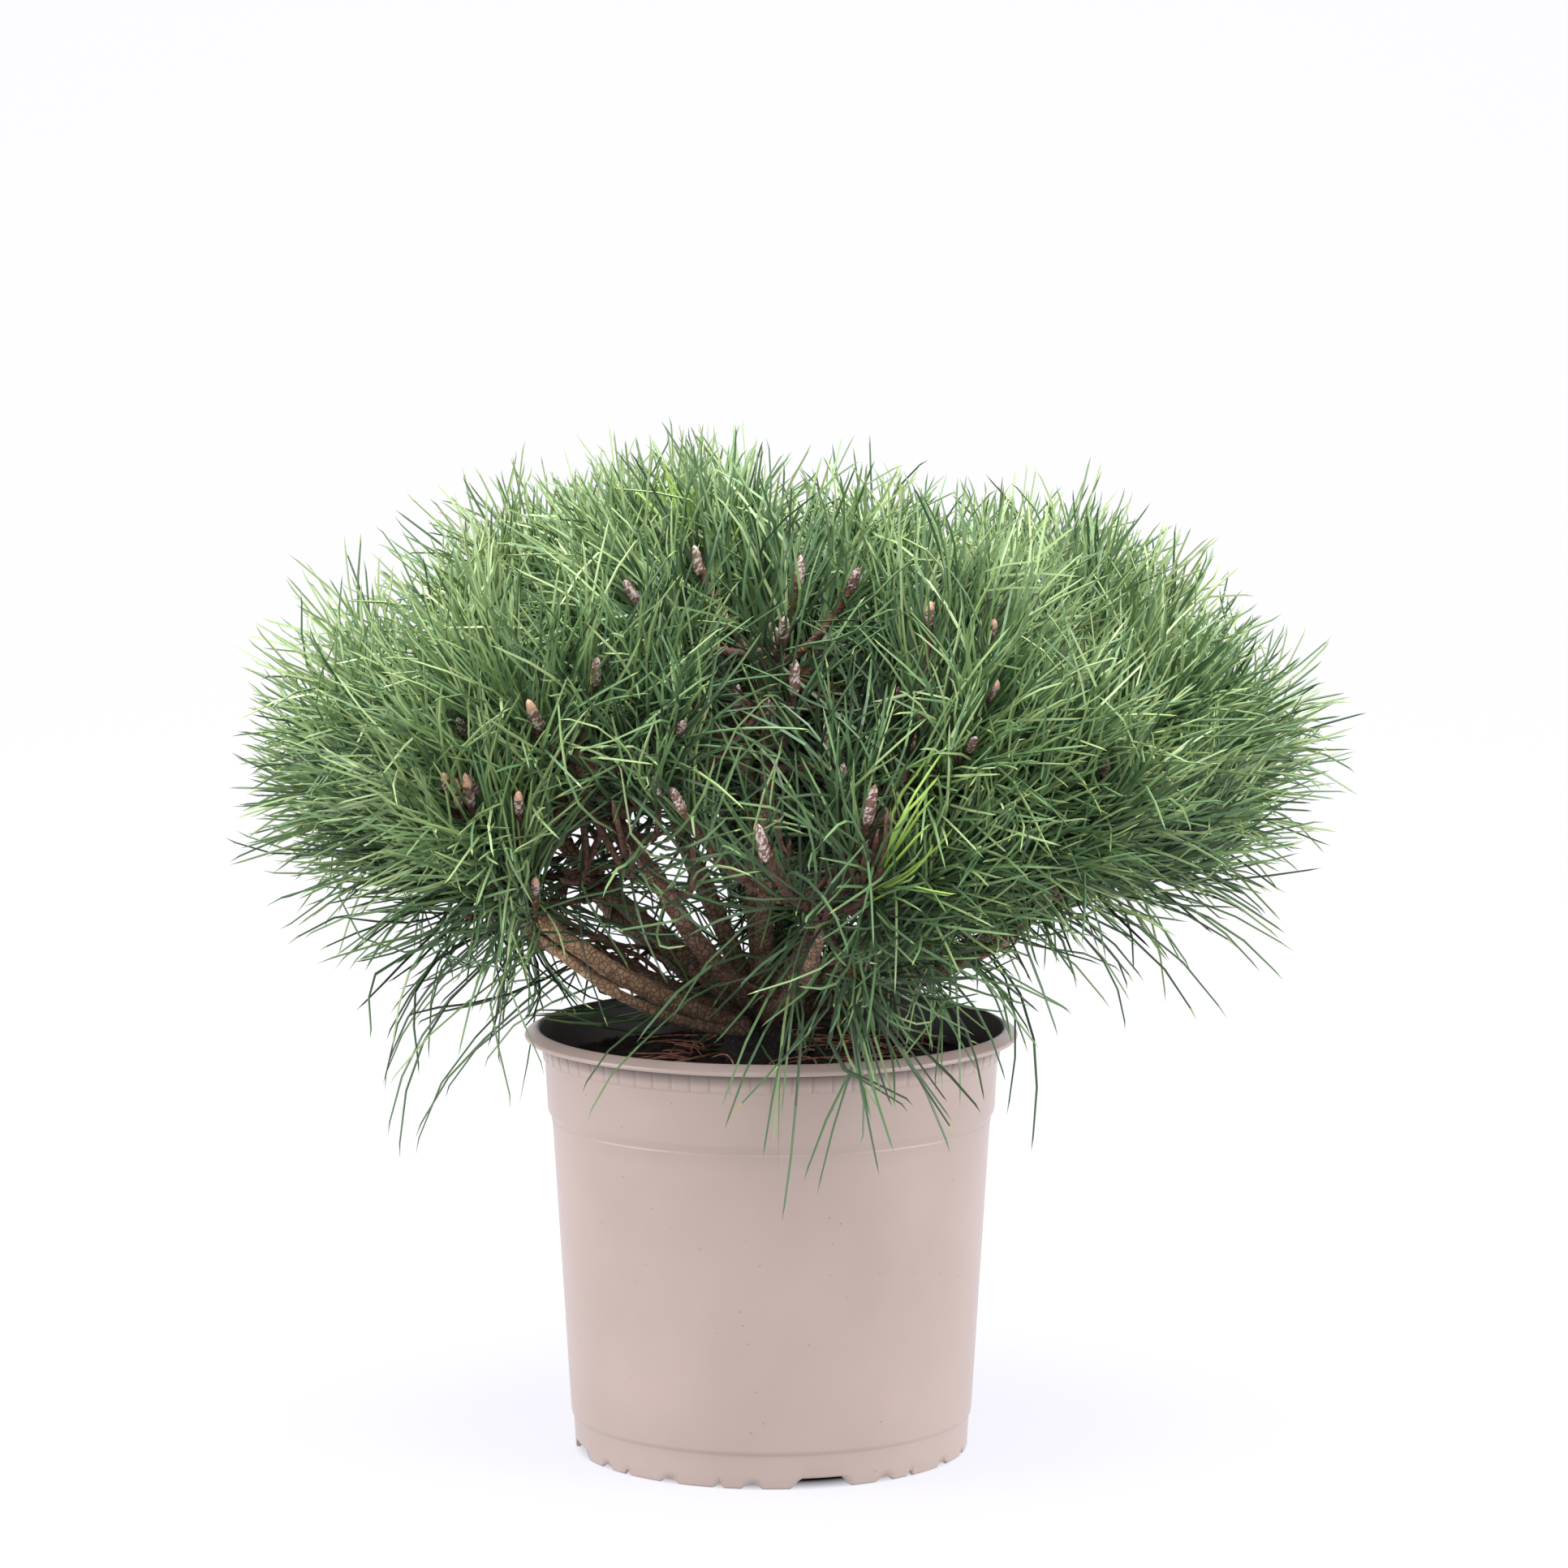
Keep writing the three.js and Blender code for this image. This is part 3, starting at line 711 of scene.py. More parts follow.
def pot_plastic(colour):
    """Injection-moulded polypropylene, tinted taupe through and through: a satin sheen, faint
    clouding from the flow of the melt, a few darker specks of pigment, and painted shade on the
    collar right under the lip."""
    material, tree, coords = new_material("moulded_polypropylene")
    place = {"Vector": coords}
    cloud = add_node(tree, "TexNoise", None, {"Scale": per_mm(60), "Detail": 3.0}, place)
    tone = add_node(tree, "ValToRGB", links={"Fac": cloud})
    set_stops(tone, (0.3, [c * 0.94 for c in colour]), (0.7, [min(1, c * 1.04) for c in colour]))
    speck = add_node(tree, "TexVoronoi", None, {"Scale": per_mm(9)}, place)
    spot = add_node(tree, "Math", {"operation": "LESS_THAN"}, {1: 0.045}, {0: speck})
    darker = {SECOND: (*[c * 0.6 for c in colour], 1)}
    links = {SHARE: spot, FIRST: tone}
    shade = add_node(tree, "Mix", {"data_type": "RGBA"}, darker, links, MIXED)
    # Painted shade: the collar darkens towards the lip's underside, as if the overhanging lip shaded it.
    height = add_node(tree, "SeparateXYZ", links=place, output="Z")
    fade = {"From Min": (POT_HEIGHT - 11.5) * MM, "From Max": (POT_HEIGHT - 5) * MM}
    fade.update({"To Min": 1.0, "To Max": 0.2})
    under_lip = add_node(tree, "MapRange", None, fade, {"Value": height})
    fade = {"From Min": (COLLAR_RADIUS + 2.2) * MM, "From Max": (COLLAR_RADIUS + 3.4) * MM}
    on_lip = add_node(tree, "MapRange", None, fade, {"Value": from_axis(tree, coords)})
    unshaded = add_node(tree, "Math", {"operation": "MAXIMUM"}, None, {0: under_lip, 1: on_lip})
    links = {"Vector": shade, "Scale": unshaded}
    shaded_under_lip = add_node(tree, "VectorMath", {"operation": "SCALE"}, None, links)
    gloss = add_node(tree, "MapRange", None, {"To Min": 0.26, "To Max": 0.36}, {"Value": cloud})
    grain = add_node(tree, "TexNoise", None, {"Scale": per_mm(2.2), "Detail": 2.0}, place)
    depth = {"Strength": 0.08, "Distance": 0.2 * MM}
    relief = add_node(tree, "Bump", None, depth, {"Height": grain})
    links = {"Base Color": shaded_under_lip, "Roughness": gloss, "Normal": relief}
    return add_shader(material, {"IOR": 1.43}, links)


def two_tone(name, dark, light, grain_mm, relief_mm, roughness, **values):
    """A rough natural surface that wanders between two colours, with a relief of that grain."""
    material, tree, coords = new_material(name)
    spread = {"Scale": per_mm(grain_mm), "Detail": 5.0, "Roughness": 0.65}
    grain = add_node(tree, "TexNoise", None, spread, {"Vector": coords})
    tone = add_node(tree, "ValToRGB", links={"Fac": grain})
    set_stops(tone, (0.36, linear(dark)), (0.66, linear(light)))
    depth = {"Strength": 0.6, "Distance": relief_mm * MM}
    relief = add_node(tree, "Bump", None, depth, {"Height": grain})
    links = {"Base Color": tone, "Normal": relief}
    return add_shader(material, {"Roughness": roughness, **values}, links)


def flaky_bark(name, dark, middle, light, shade_ends_at=0.275):
    """Pine bark on the old wood: thin flakes about 3 mm across, brown on their faces and darker in
    the cracks between them, and darker, as painted shade, from a height in metres down to the compost."""
    material, tree, coords = new_material(name)
    place = {"Vector": coords}
    spread = {"Scale": per_mm(2.8), "Randomness": 1.0}
    flakes = add_node(tree, "TexVoronoi", {"feature": "DISTANCE_TO_EDGE"}, spread, place)
    spread = {"Scale": per_mm(6), "Detail": 5.0, "Roughness": 0.7}
    tint = add_node(tree, "TexNoise", None, spread, place)
    face = add_node(tree, "ValToRGB", links={"Fac": tint})
    set_stops(face, (0.3, linear(dark)), (0.5, linear(middle)), (0.72, linear(light)))
    crack = add_node(tree, "MapRange", None, {"From Max": 0.12}, {"Value": flakes})
    darker = {FIRST: (*[c * 0.8 for c in linear(dark)], 1)}
    links = {SHARE: crack, SECOND: face}
    shade = add_node(tree, "Mix", {"data_type": "RGBA"}, darker, links, MIXED)
    # Painted shade: the bark darkens from the given height down towards the compost.
    height = add_node(tree, "SeparateXYZ", links=place, output="Z")
    fade = {"From Min": 0.2, "From Max": shade_ends_at, "To Min": 0.24, "To Max": 1.0}
    height_shade = add_node(tree, "MapRange", None, fade, {"Value": height})
    links = {"Vector": shade, "Scale": height_shade}
    bark_shaded = add_node(tree, "VectorMath", {"operation": "SCALE"}, None, links)
    depth = {"Strength": 0.7, "Distance": 0.8 * MM}
    relief = add_node(tree, "Bump", None, depth, {"Height": crack})
    return add_shader(material, {"Roughness": 0.85}, {"Base Color": bark_shaded, "Normal": relief})


# Greens of the living needles, from the deepest to the palest.
NEEDLE_GREENS = (
    ("needle_green_dark", "2A3C24"),
    ("needle_green_deep", "3A5031"),
    ("needle_green_blue", "4D6B43"),
    ("needle_green_mid", "637F4E"),
    ("needle_green_fresh", "80975F"),
    ("needle_green_pale", "91A570"),
    ("needle_green_young", "90B04E"),
)
YOUNG = 6

# The rings of a needle up to this one are one green deeper, as painted shade at its foot, and some of
# the tips are yellow.
SHADED_RINGS = 3
YELLOW_TIPS = 0.18
NEEDLE_TIP = ("needle_tip_yellow", "8E9E58")
NEEDLE_SHEATH = ("needle_sheath_brown", "6A4A34")

# The green, as a place in that list, of needles that hang and of a shoot's at two heights.
# The higher greens are lighter: painted light from above.
HANGING_GREEN = 2.4
GREEN_AT = (230, 310, 410)
GREENS = (2.4, 3.2, 3.9)

# The dark hollow at the front, as the camera sees it, and how much deeper its greens are, then
# those of the finer inner shoots: both painted shade.
HOLLOW = (6.0, 348.0)
HOLLOW_SIZE = (66.0, 58.0)
HOLLOW_SHADE = 2.2
INNER_SHADE = 1.1

# How much the green varies from shoot to shoot, and from needle to needle.
SHOOT_VARIES = 0.25
NEEDLE_VARIES = 1.0


def waxy_needle(name, code):
    """A living needle: a plain colour under a thin coat of wax, which gives it a soft gloss that
    a fine grain breaks up."""
    material, tree, coords = new_material(name)
    spread = {"Scale": per_mm(5), "Detail": 2.0}
    bloom = add_node(tree, "TexNoise", None, spread, {"Vector": coords})
    gloss = add_node(tree, "MapRange", None, {"To Min": 0.4, "To Max": 0.56}, {"Value": bloom})
    values = {"Base Color": (*linear(code), 1), "IOR": 1.5, "Specular IOR Level": 0.42}
    return add_shader(material, values, {"Roughness": gloss})


# The container.


def arc(centre, radius, start, stop, steps):
    """Points of an arc in the outline's plane, as (radius from the axis, height)."""
    turns = [math.radians(mix(start, stop, i / steps)) for i in range(steps + 1)]
    return [(centre[0] + radius * math.cos(t), centre[1] + radius * math.sin(t)) for t in turns]


def near(radius, height, *steps):
    """Points of the outline that lie near a corner, by their steps from it."""
    return [(radius + out, height + up) for out, up in steps]


def pot_outline():
    """The container's section, from the middle of its underside round to the middle of its floor."""
    channel = FOOT_RADIUS - FOOT_WIDTH
    lip_foot = POT_HEIGHT - 4
    outside = [(0, 0), (20, 0), (40, 0)]
    outside += near(PAD_RADIUS, 0, (-0.8, 0), (0, 0.6))
    outside += near(PAD_RADIUS, CHANNEL, (3.6, -0.4), (4.6, 0))
    outside.append((75, CHANNEL))
    outside += near(channel, CHANNEL, (-0.6, 0), (0, -0.6))
    outside += near(channel, 0, (0, 3.4), (0.1, 0.5), (0.6, 0))
    outside += near(FOOT_RADIUS, 0, (-0.9, 0), (-0.2, 0.3), (0, 1.2), (0.3, 6))
    outside += near(SKIRT_RADIUS, SKIRT_TOP, (0, -0.4), (0.1, 0.2), (0.8, 0.9), (1.1, 2.4))
    wall_foot = outside[-1]
    for share in (0.2, 0.4, 0.6, 0.8, 0.94):
        outside.append((mix(wall_foot[0], WALL_RADIUS, share), mix(wall_foot[1], WALL_TOP, share)))
    outside += near(WALL_RADIUS, WALL_TOP, (0, -1.2), (BEAD, -0.8), (BEAD, -0.2), (0, 0.1))
    outside += near(WALL_RADIUS, WALL_TOP, (0.1, 0.4), (0.5, 1.4))
    outside += near(BAND_RADIUS, BAND_TOP, (-0.5, -1.4), (0, 0))
    outside.append((BAND_RADIUS + 0.6, mix(BAND_TOP, COLLAR_FOOT, 0.5)))
    outside += near(COLLAR_RADIUS, COLLAR_FOOT, (-0.9, -0.9), (-0.8, -0.3), (0, 0.1), (0.1, 0.8))
    outside += near(COLLAR_RADIUS, lip_foot, (1.1, -2.2), (1.3, -1.5), (2, -1))
    outside.append((LIP_RADIUS - LIP_ROLL - 0.4, lip_foot - 1))
    outside += arc((LIP_RADIUS - LIP_ROLL, lip_foot + LIP_ROLL - 1), LIP_ROLL, -80, 60, 5)
    outside.append((mix(LIP_RADIUS, MOUTH_RADIUS, 0.55), POT_HEIGHT - 1.3))
    outside += arc((MOUTH_RADIUS + 1, POT_HEIGHT - MOUTH_ROLL), MOUTH_ROLL, 70, 175, 4)
    inside = [(COLLAR_RADIUS - WALL + 0.9, lip_foot - 3), (COLLAR_RADIUS - WALL, COLLAR_FOOT)]
    inside += [(BAND_RADIUS - WALL, BAND_TOP), (WALL_RADIUS - WALL, WALL_TOP)]
    inside += [(FOOT_RADIUS - WALL, CHANNEL + 2), (PAD_RADIUS + 3, CHANNEL + 2)]
    inside += [(PAD_RADIUS - 1, 2), (0, 2)]
    return outside + inside


def spin_section(section, columns):
    """A shell spun round the axis from a section of (radius, height) points."""
    bm = bmesh.new()
    corners = [bm.verts.new((radius, 0, height)) for radius, height in section]
    edges = [bm.edges.new(pair) for pair in zip(corners, corners[1:])]
    turn = {"cent": (0, 0, 0), "axis": (0, 0, 1), "angle": 2 * math.pi, "steps": columns}
    bmesh.ops.spin(bm, geom=corners + edges, use_merge=True, **turn)
    bmesh.ops.remove_doubles(bm, verts=bm.verts, dist=0.01)
    bmesh.ops.recalc_face_normals(bm, faces=bm.faces)
    return bm


def notch_lift(turn, height):
    """How far a point of the foot, at a turn in degrees, is lifted by the notch over it."""
    for quarter in range(4):
        for at, wide, narrow, tall in NOTCHES:
            away = abs((turn - (FIRST_NOTCH + at + 90 * quarter) + 540) % 360 - 180)
            if away < wide:
                top = tall * min(1.0, (wide - away) / (wide - narrow))
                return max(0.0, top - height)
    return 0.0


def shape_pot():
    """The container's shell: its section spun round the axis, then ribbed and notched."""
    bm = spin_section(pot_outline(), COLUMNS)
    rib_foot, rib_top = COLLAR_FOOT + 0.5, POT_HEIGHT - 5.8
    for vert in bm.verts:
        radius = math.hypot(vert.co.x, vert.co.y)
        turn = math.degrees(math.atan2(vert.co.x, -vert.co.y))
        column = round(turn * COLUMNS / 360) % len(GROOVE_COLUMNS)
        turn += GROOVE_COLUMNS[column] - column * 360 / COLUMNS
        vert.co.x = radius * math.sin(math.radians(turn))
        vert.co.y = -radius * math.cos(math.radians(turn))
        if rib_foot < vert.co.z < rib_top and radius > COLLAR_RADIUS - 0.5:
            depth = GROOVE_DEPTH if column == 1 else 0.0
            vert.co.xy = vert.co.xy * (1 - depth / radius)
        if radius > FOOT_RADIUS - FOOT_WIDTH - 0.2 and vert.co.z < 5:
            vert.co.z += notch_lift(turn, vert.co.z)
    for face in bm.faces:
        centre = face.calc_center_median()
        inwards = face.normal.x * centre.x + face.normal.y * centre.y < 0
        face.material_index = int(inwards and centre.z > 100 and centre.xy.length < MOUTH_RADIUS)
    return bm


# The soil.

# It rises by so many millimetres towards the trunk, over this share of its radius, and litter lies
# on it within a distance from the axis.
SOIL_RIM = SOIL_TOP - 1
SOIL_DEPTH = 12
SOIL_RADIUS = 104
SOIL_RISE = 3
SOIL_RISES_OVER = 0.8
SOIL_RINGS = 56
SOIL_COLUMNS = 200
LITTER_WITHIN = 101


def soil_rise(inwards):
    """The compost's height over its rim, at a share of the way from there to the axis."""
    return SOIL_RISE * smoothstep(inwards, 0, SOIL_RISES_OVER)


def shape_soil():
    """The compost's surface: rings that rise to the trunk, roughened into crumbs."""
    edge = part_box("soil")[1].x / MM - 0.2
    section = [(0, SOIL_RIM - SOIL_DEPTH), (edge - 1, SOIL_RIM - SOIL_DEPTH)]
    for i in range(SOIL_RINGS + 1):
        inwards = i / SOIL_RINGS
        section.append((edge * (1 - inwards), SOIL_RIM + soil_rise(inwards)))
    bm = spin_section(section, SOIL_COLUMNS)
    for vert in bm.verts:
        radius = vert.co.xy.length
        if vert.co.z < SOIL_RIM - 1 or radius > edge - 0.5:
            continue
        crumbs = noise.fractal(vert.co * 0.16, 1.0, 2.0, 4)
        lumps = noise.noise(vert.co * 0.05)
        vert.co.z += min(crumbs * 3.2 + lumps * 2.8, SOIL_TOP - vert.co.z + 4)
    return bm


def soil_height(x, y):
    """Roughly how high the compost is at a place, for what lies on it."""
    return SOIL_RIM + soil_rise(1 - math.hypot(x, y) / SOIL_RADIUS) + 1.2


def litter_paths(count, length, curl, rng):
    """Curved strands that lie about on the compost."""
    turns = rng.uniform(0, 2 * np.pi, count)
    radii = 100 * np.sqrt(rng.uniform(0.03, 0.8, count))
    headings = rng.uniform(0, 2 * np.pi, count)
    bends = rng.normal(0, curl, count)
    lifts = rng.uniform(0.2, 1.0, count)
    sizes = length * rng.uniform(0.6, 1.2, count)
    shares = np.linspace(0, 1, 9)
    paths = np.zeros((count, 9, 3))
    for i in range(count):
        heading = headings[i] + bends[i] * shares * 2
        step = sizes[i] / 8
        x = radii[i] * math.cos(turns[i]) + np.cumsum(np.cos(heading)) * step
        y = radii[i] * math.sin(turns[i]) + np.cumsum(np.sin(heading)) * step
        for k in range(9):
            drawn_in = min(1.0, LITTER_WITHIN / math.hypot(x[k], y[k]))
            x[k] *= drawn_in
            y[k] *= drawn_in
            arch = math.sin(shares[k] * math.pi) * 5 * lifts[i] ** 3
            paths[i, k] = (x[k], y[k], soil_height(x[k], y[k]) + 0.4 + arch)
    return paths


# Wood.


def limb_frames(path):
    """Matrices that carry a ring along a path without twisting it."""
    frames = []
    side = Vector((1, 0, 0))
    for i, point in enumerate(path):
        onward = Vector(path[min(i + 1, len(path) - 1)]) - Vector(path[max(i - 1, 0)])
        onward.normalize()
        side = (side - onward * side.dot(onward)).normalized()
        up = onward.cross(side)
        turned = Matrix((side, up, onward)).transposed().to_4x4()
        frames.append(Matrix.Translation(Vector(point)) @ turned)
    return frames


def bark_relief(point, radius):
    """The height of the bark over a limb: lengthwise ridges, flakes and a few knots."""
    flakes = noise.cell(point * 0.3) - 0.5
    ridges = noise.fractal(point * 0.22, 1.0, 2.0, 3)
    knots = max(0.0, noise.noise(point * 0.07 + Vector((7, 3, 5))) - 0.35) * 6
    return radius * (0.05 * flakes + 0.13 * ridges) + knots


def grow_limb(joined, path, radii, sides, finish=0):
    """Extrudes a ring along a path, gives it its bark, closes it, and adds it to the mesh."""
    bm = bmesh.new()
    ring = bmesh.ops.create_circle(bm, segments=sides, radius=1.0)["verts"]
    edges = list(bm.edges)
    frames = limb_frames(path)
    bmesh.ops.contextual_create(bm, geom=edges)
    before = frames[0] @ Matrix.Scale(radii[0], 4)
    bmesh.ops.transform(bm, matrix=before, verts=ring)
    for place, radius in zip(frames[1:], radii[1:]):
        grown = bmesh.ops.extrude_edge_only(bm, edges=edges)["geom"]
        ring = [part for part in grown if isinstance(part, bmesh.types.BMVert)]
        edges = [part for part in grown if isinstance(part, bmesh.types.BMEdge)]
        after = place @ Matrix.Scale(radius, 4)
        bmesh.ops.transform(bm, matrix=after @ before.inverted(), verts=ring)
        before = after
    bmesh.ops.contextual_create(bm, geom=edges)
    bmesh.ops.recalc_face_normals(bm, faces=bm.faces)
    bm.normal_update()
    mean = sum(radii) / len(radii)
    moves = [(vert, vert.normal * bark_relief(vert.co, mean)) for vert in bm.verts]
    for vert, move in moves:
        vert.co += move
    for face in bm.faces:
        face.material_index = finish
    part = bpy.data.meshes.new("limb")
    bm.to_mesh(part)
    bm.free()
    joined.from_mesh(part)
    bpy.data.meshes.remove(part)


# Two broken boughs at the front left: their curves from the fork, and their end radii.
STUBS = (
    (((-12, -12, 200), (-54, -46, 215), (-106, -82, 262)), (5.0, 3.9)),
    (((-14, -16, 199), (-58, -54, 206), (-104, -86, 253)), (2.9, 2.1)),
)


def shape_trunk():
    """The trunk, from its flare in the compost to the fork."""
    joined = bmesh.new()
    shares = np.linspace(0, 1, 26)
    path = bezier(trunk_ends(), shares)
    radii = [trunk_radius(share) for share in shares]
    radii[-2:] = [radii[-2] * 0.93, radii[-1] * 0.7]
    grow_limb(joined, path, radii, 40)
    return joined


def shape_boughs(boughs):
    """Every bough, the stem that goes on from its tip, and the stubs of two that broke off."""
    joined = bmesh.new()
    noise.seed_set(SEED)
    for ends, (thick, thin) in STUBS:
        shares = np.linspace(0, 1, 44)
        stub = bezier([np.array(place, float) for place in ends], shares)
        radii = [mix(thick, thin, share) for share in shares]
        radii[-3:] = [radii[-1] * 1.12, radii[-1] * 0.9, radii[-1] * 0.35]
        grow_limb(joined, stub, radii, 20, 1)
    for bough in boughs:
        low_shares, high_shares = np.linspace(0.04, 1, 40), np.linspace(0.05, 1, 34)
        lower = bezier(bough["curve"], low_shares)
        upper = bezier(bough["stem"], high_shares)
        thick, thin = bough["radii"]
        radii = [mix(thick, thin, share) for share in low_shares]
        radii += [mix(thin, STEM_TIP_RADIUS, share) for share in high_shares]
        radii[-6:] = [STEM_TIP_RADIUS * share for share in (0.95, 0.85, 0.7, 0.55, 0.4, 0.2)]
        sway = np.array([noise.noise_vector(Vector(p) * 0.018) for p in lower])
        lower = lower + sway * np.linspace(0, 1, 40)[:, None] * np.linspace(1, 0, 40)[:, None] * 8
        grow_limb(joined, np.concatenate([lower, upper]), radii, 16)
    return joined


# Shoots.

# The radii of the twigs of shoots that hang, stand bare, show their bud, or do none of these.
HANGING_TWIG = 1.0
BARE_TWIG = 2.2
BUDDED_TWIG = 1.7
PLAIN_TWIG = 1.45

# The share of its radius that a twig has at its foot and its tip, and the bump, from -1 to 1, above
# which a face is the outer end of a bract.
TWIG_TAPER = (1.25, 0.95)
BRACT_ABOVE = 0.35

# A winter bud: its width at places along it, both as shares, the scales round it and how far they
# stand out, the share of it that lies below the shoot's tip, and how much it turns up.
BUD_AT = (0, 0.12, 0.35, 0.75, 1)
BUD_SWELLS = (0.62, 0.9, 1, 0.84, 0.3)
SCALES_ROUND = 5
SCALE_HEIGHT = 0.1
BUD_BELOW = 0.8
BUD_UPTURN = np.array([0, 0, 0.25])


def twig_radius(shoot):
    if shoot["hangs"]:
        return HANGING_TWIG
    if shoot["curly"] >= CURLY:
        return BARE_TWIG
    return BUDDED_TWIG if shoot["bud_length"] else PLAIN_TWIG


def shoot_stems(shoots, rings, sides, scaliness):
    """The twigs of shoots, rough with the bracts of their first leaves, and which of their
    triangles are the bracts' outer ends."""
    rng = np.random.default_rng(SEED)
    shares = np.linspace(0, 1, rings + 1)
    paths = np.array([bezier(shoot["curve"], shares) for shoot in shoots])
    bumps = rng.uniform(-1, 1, (len(shoots), rings, sides))
    taper = mix(*TWIG_TAPER, shares[:rings])[:, None] * (1 + scaliness * bumps)
    thick = np.array([twig_radius(shoot) for shoot in shoots])
    points, triangles, _, _ = tubes(paths, taper * thick[:, None, None])
    heights = np.concatenate([bumps.reshape(len(shoots), -1), np.zeros((len(shoots), 1))], axis=1)
    outer = heights.ravel()[triangles].min(axis=1) > BRACT_ABOVE
    return points, triangles, outer


def bud_shapes(shoots, length, width):
    """The winter bud at each shoot's tip: a spindle of overlapping scales."""
    rings, sides = 11, 8
    shares = np.linspace(0, 1, rings + 1)
    paths, radii = [], []
    turns = np.arange(sides)[None, :] / sides
    rows = np.arange(rings)[:, None]
    waves = np.sin(2 * np.pi * (turns * SCALES_ROUND + rows * 0.5))
    scales = 1 + SCALE_HEIGHT * waves * np.sin(np.pi * rows / rings)
    profile = np.interp(shares[:rings], BUD_AT, BUD_SWELLS)
    for shoot in shoots:
        rng = shoot["rng"]
        size = rng.uniform(0.6, 1.0)
        if shoot["bud_length"]:
            size = shoot["bud_length"] / length
        reach = length * size
        lean = unit(shoot["heading"] + rng.normal(0, 0.08, 3) + BUD_UPTURN)
        start = shoot["bud"] - lean * reach * BUD_BELOW
        paths.append(start + lean * reach * shares[:, None])
        radii.append(profile[:, None] * scales * width / 2 * mix(0.85, 1.15, size - 0.5))
    return tubes(np.array(paths), np.array(radii))


# Needles.

NEEDLE_SHARES = np.array([0.0, 0.09, 0.26, 0.43, 0.6, 0.77, 0.945, 1.0])
NEEDLE_PROFILE = np.array([0.62, 0.88, 1.0, 1.0, 0.98, 0.9, 0.66])
NEEDLE_SIDES = 3

# The leafy part of a shoot reaches from so far below its tip to its bud's foot.
LEAFY = 92.0
BUD_FOOT = 14.0

# Needles leave the twig at these angles, in degrees, at the foot and the tip of its leafy part, and
# are that much longer or shorter there. Each bends by an angle between these two, in radians.
LEAVE_ANGLES = (30, 14)
LEAVE_VARIES = 8
LONGER_AT = (1.1, 0.8)
BENDS = (0.35, 1.45)
GOLDEN_TURN = math.radians(137.508)

# What the lowest shoots' needles are, next to those on top: how many pairs, how long and how
# strongly bent, and the share of the pairs that the finer inner shoots have.
LOW_PAIRS = 0.5
LOW_LONGER = 1.1
LOW_BENT = 1.2
INNER_PAIRS = 0.7

# The leafy part starts and ends no further below the tip than these shares of the twig.
LEAFY_MOST = 0.84
BUD_FOOT_MOST = 0.3

# How far needles turn up on the upper shoots, and which way they bend on the upper and the lowest:
# how much at random, along the twig and upwards.
TURN_UP = 0.12
BEND_RANDOM = (0.45, 0.65)
BEND_ONWARD = (1.0, 0.4)
BEND_UP = (0.45, -0.35)

# How heavily needles sag on every shoot, and how much more on the lowest.
SAG = 0.05
LOW_SAG = 0.3

# From this far from the axis, needles lie over the container's rim.
RIM_NEAR = 80.0


def shoot_frame(shoot, along):
    """Points, directions and two cross directions of a shoot's twig, at shares along it."""
    start, bend, finish = shoot["curve"]
    t = along[:, None]
    axis = unit((1 - t) * (bend - start) + t * (finish - bend))
    first = unit(np.cross(axis, np.array([0.31, 0.17, 0.94])))
    return bezier(shoot["curve"], along), axis, first, np.cross(axis, first)


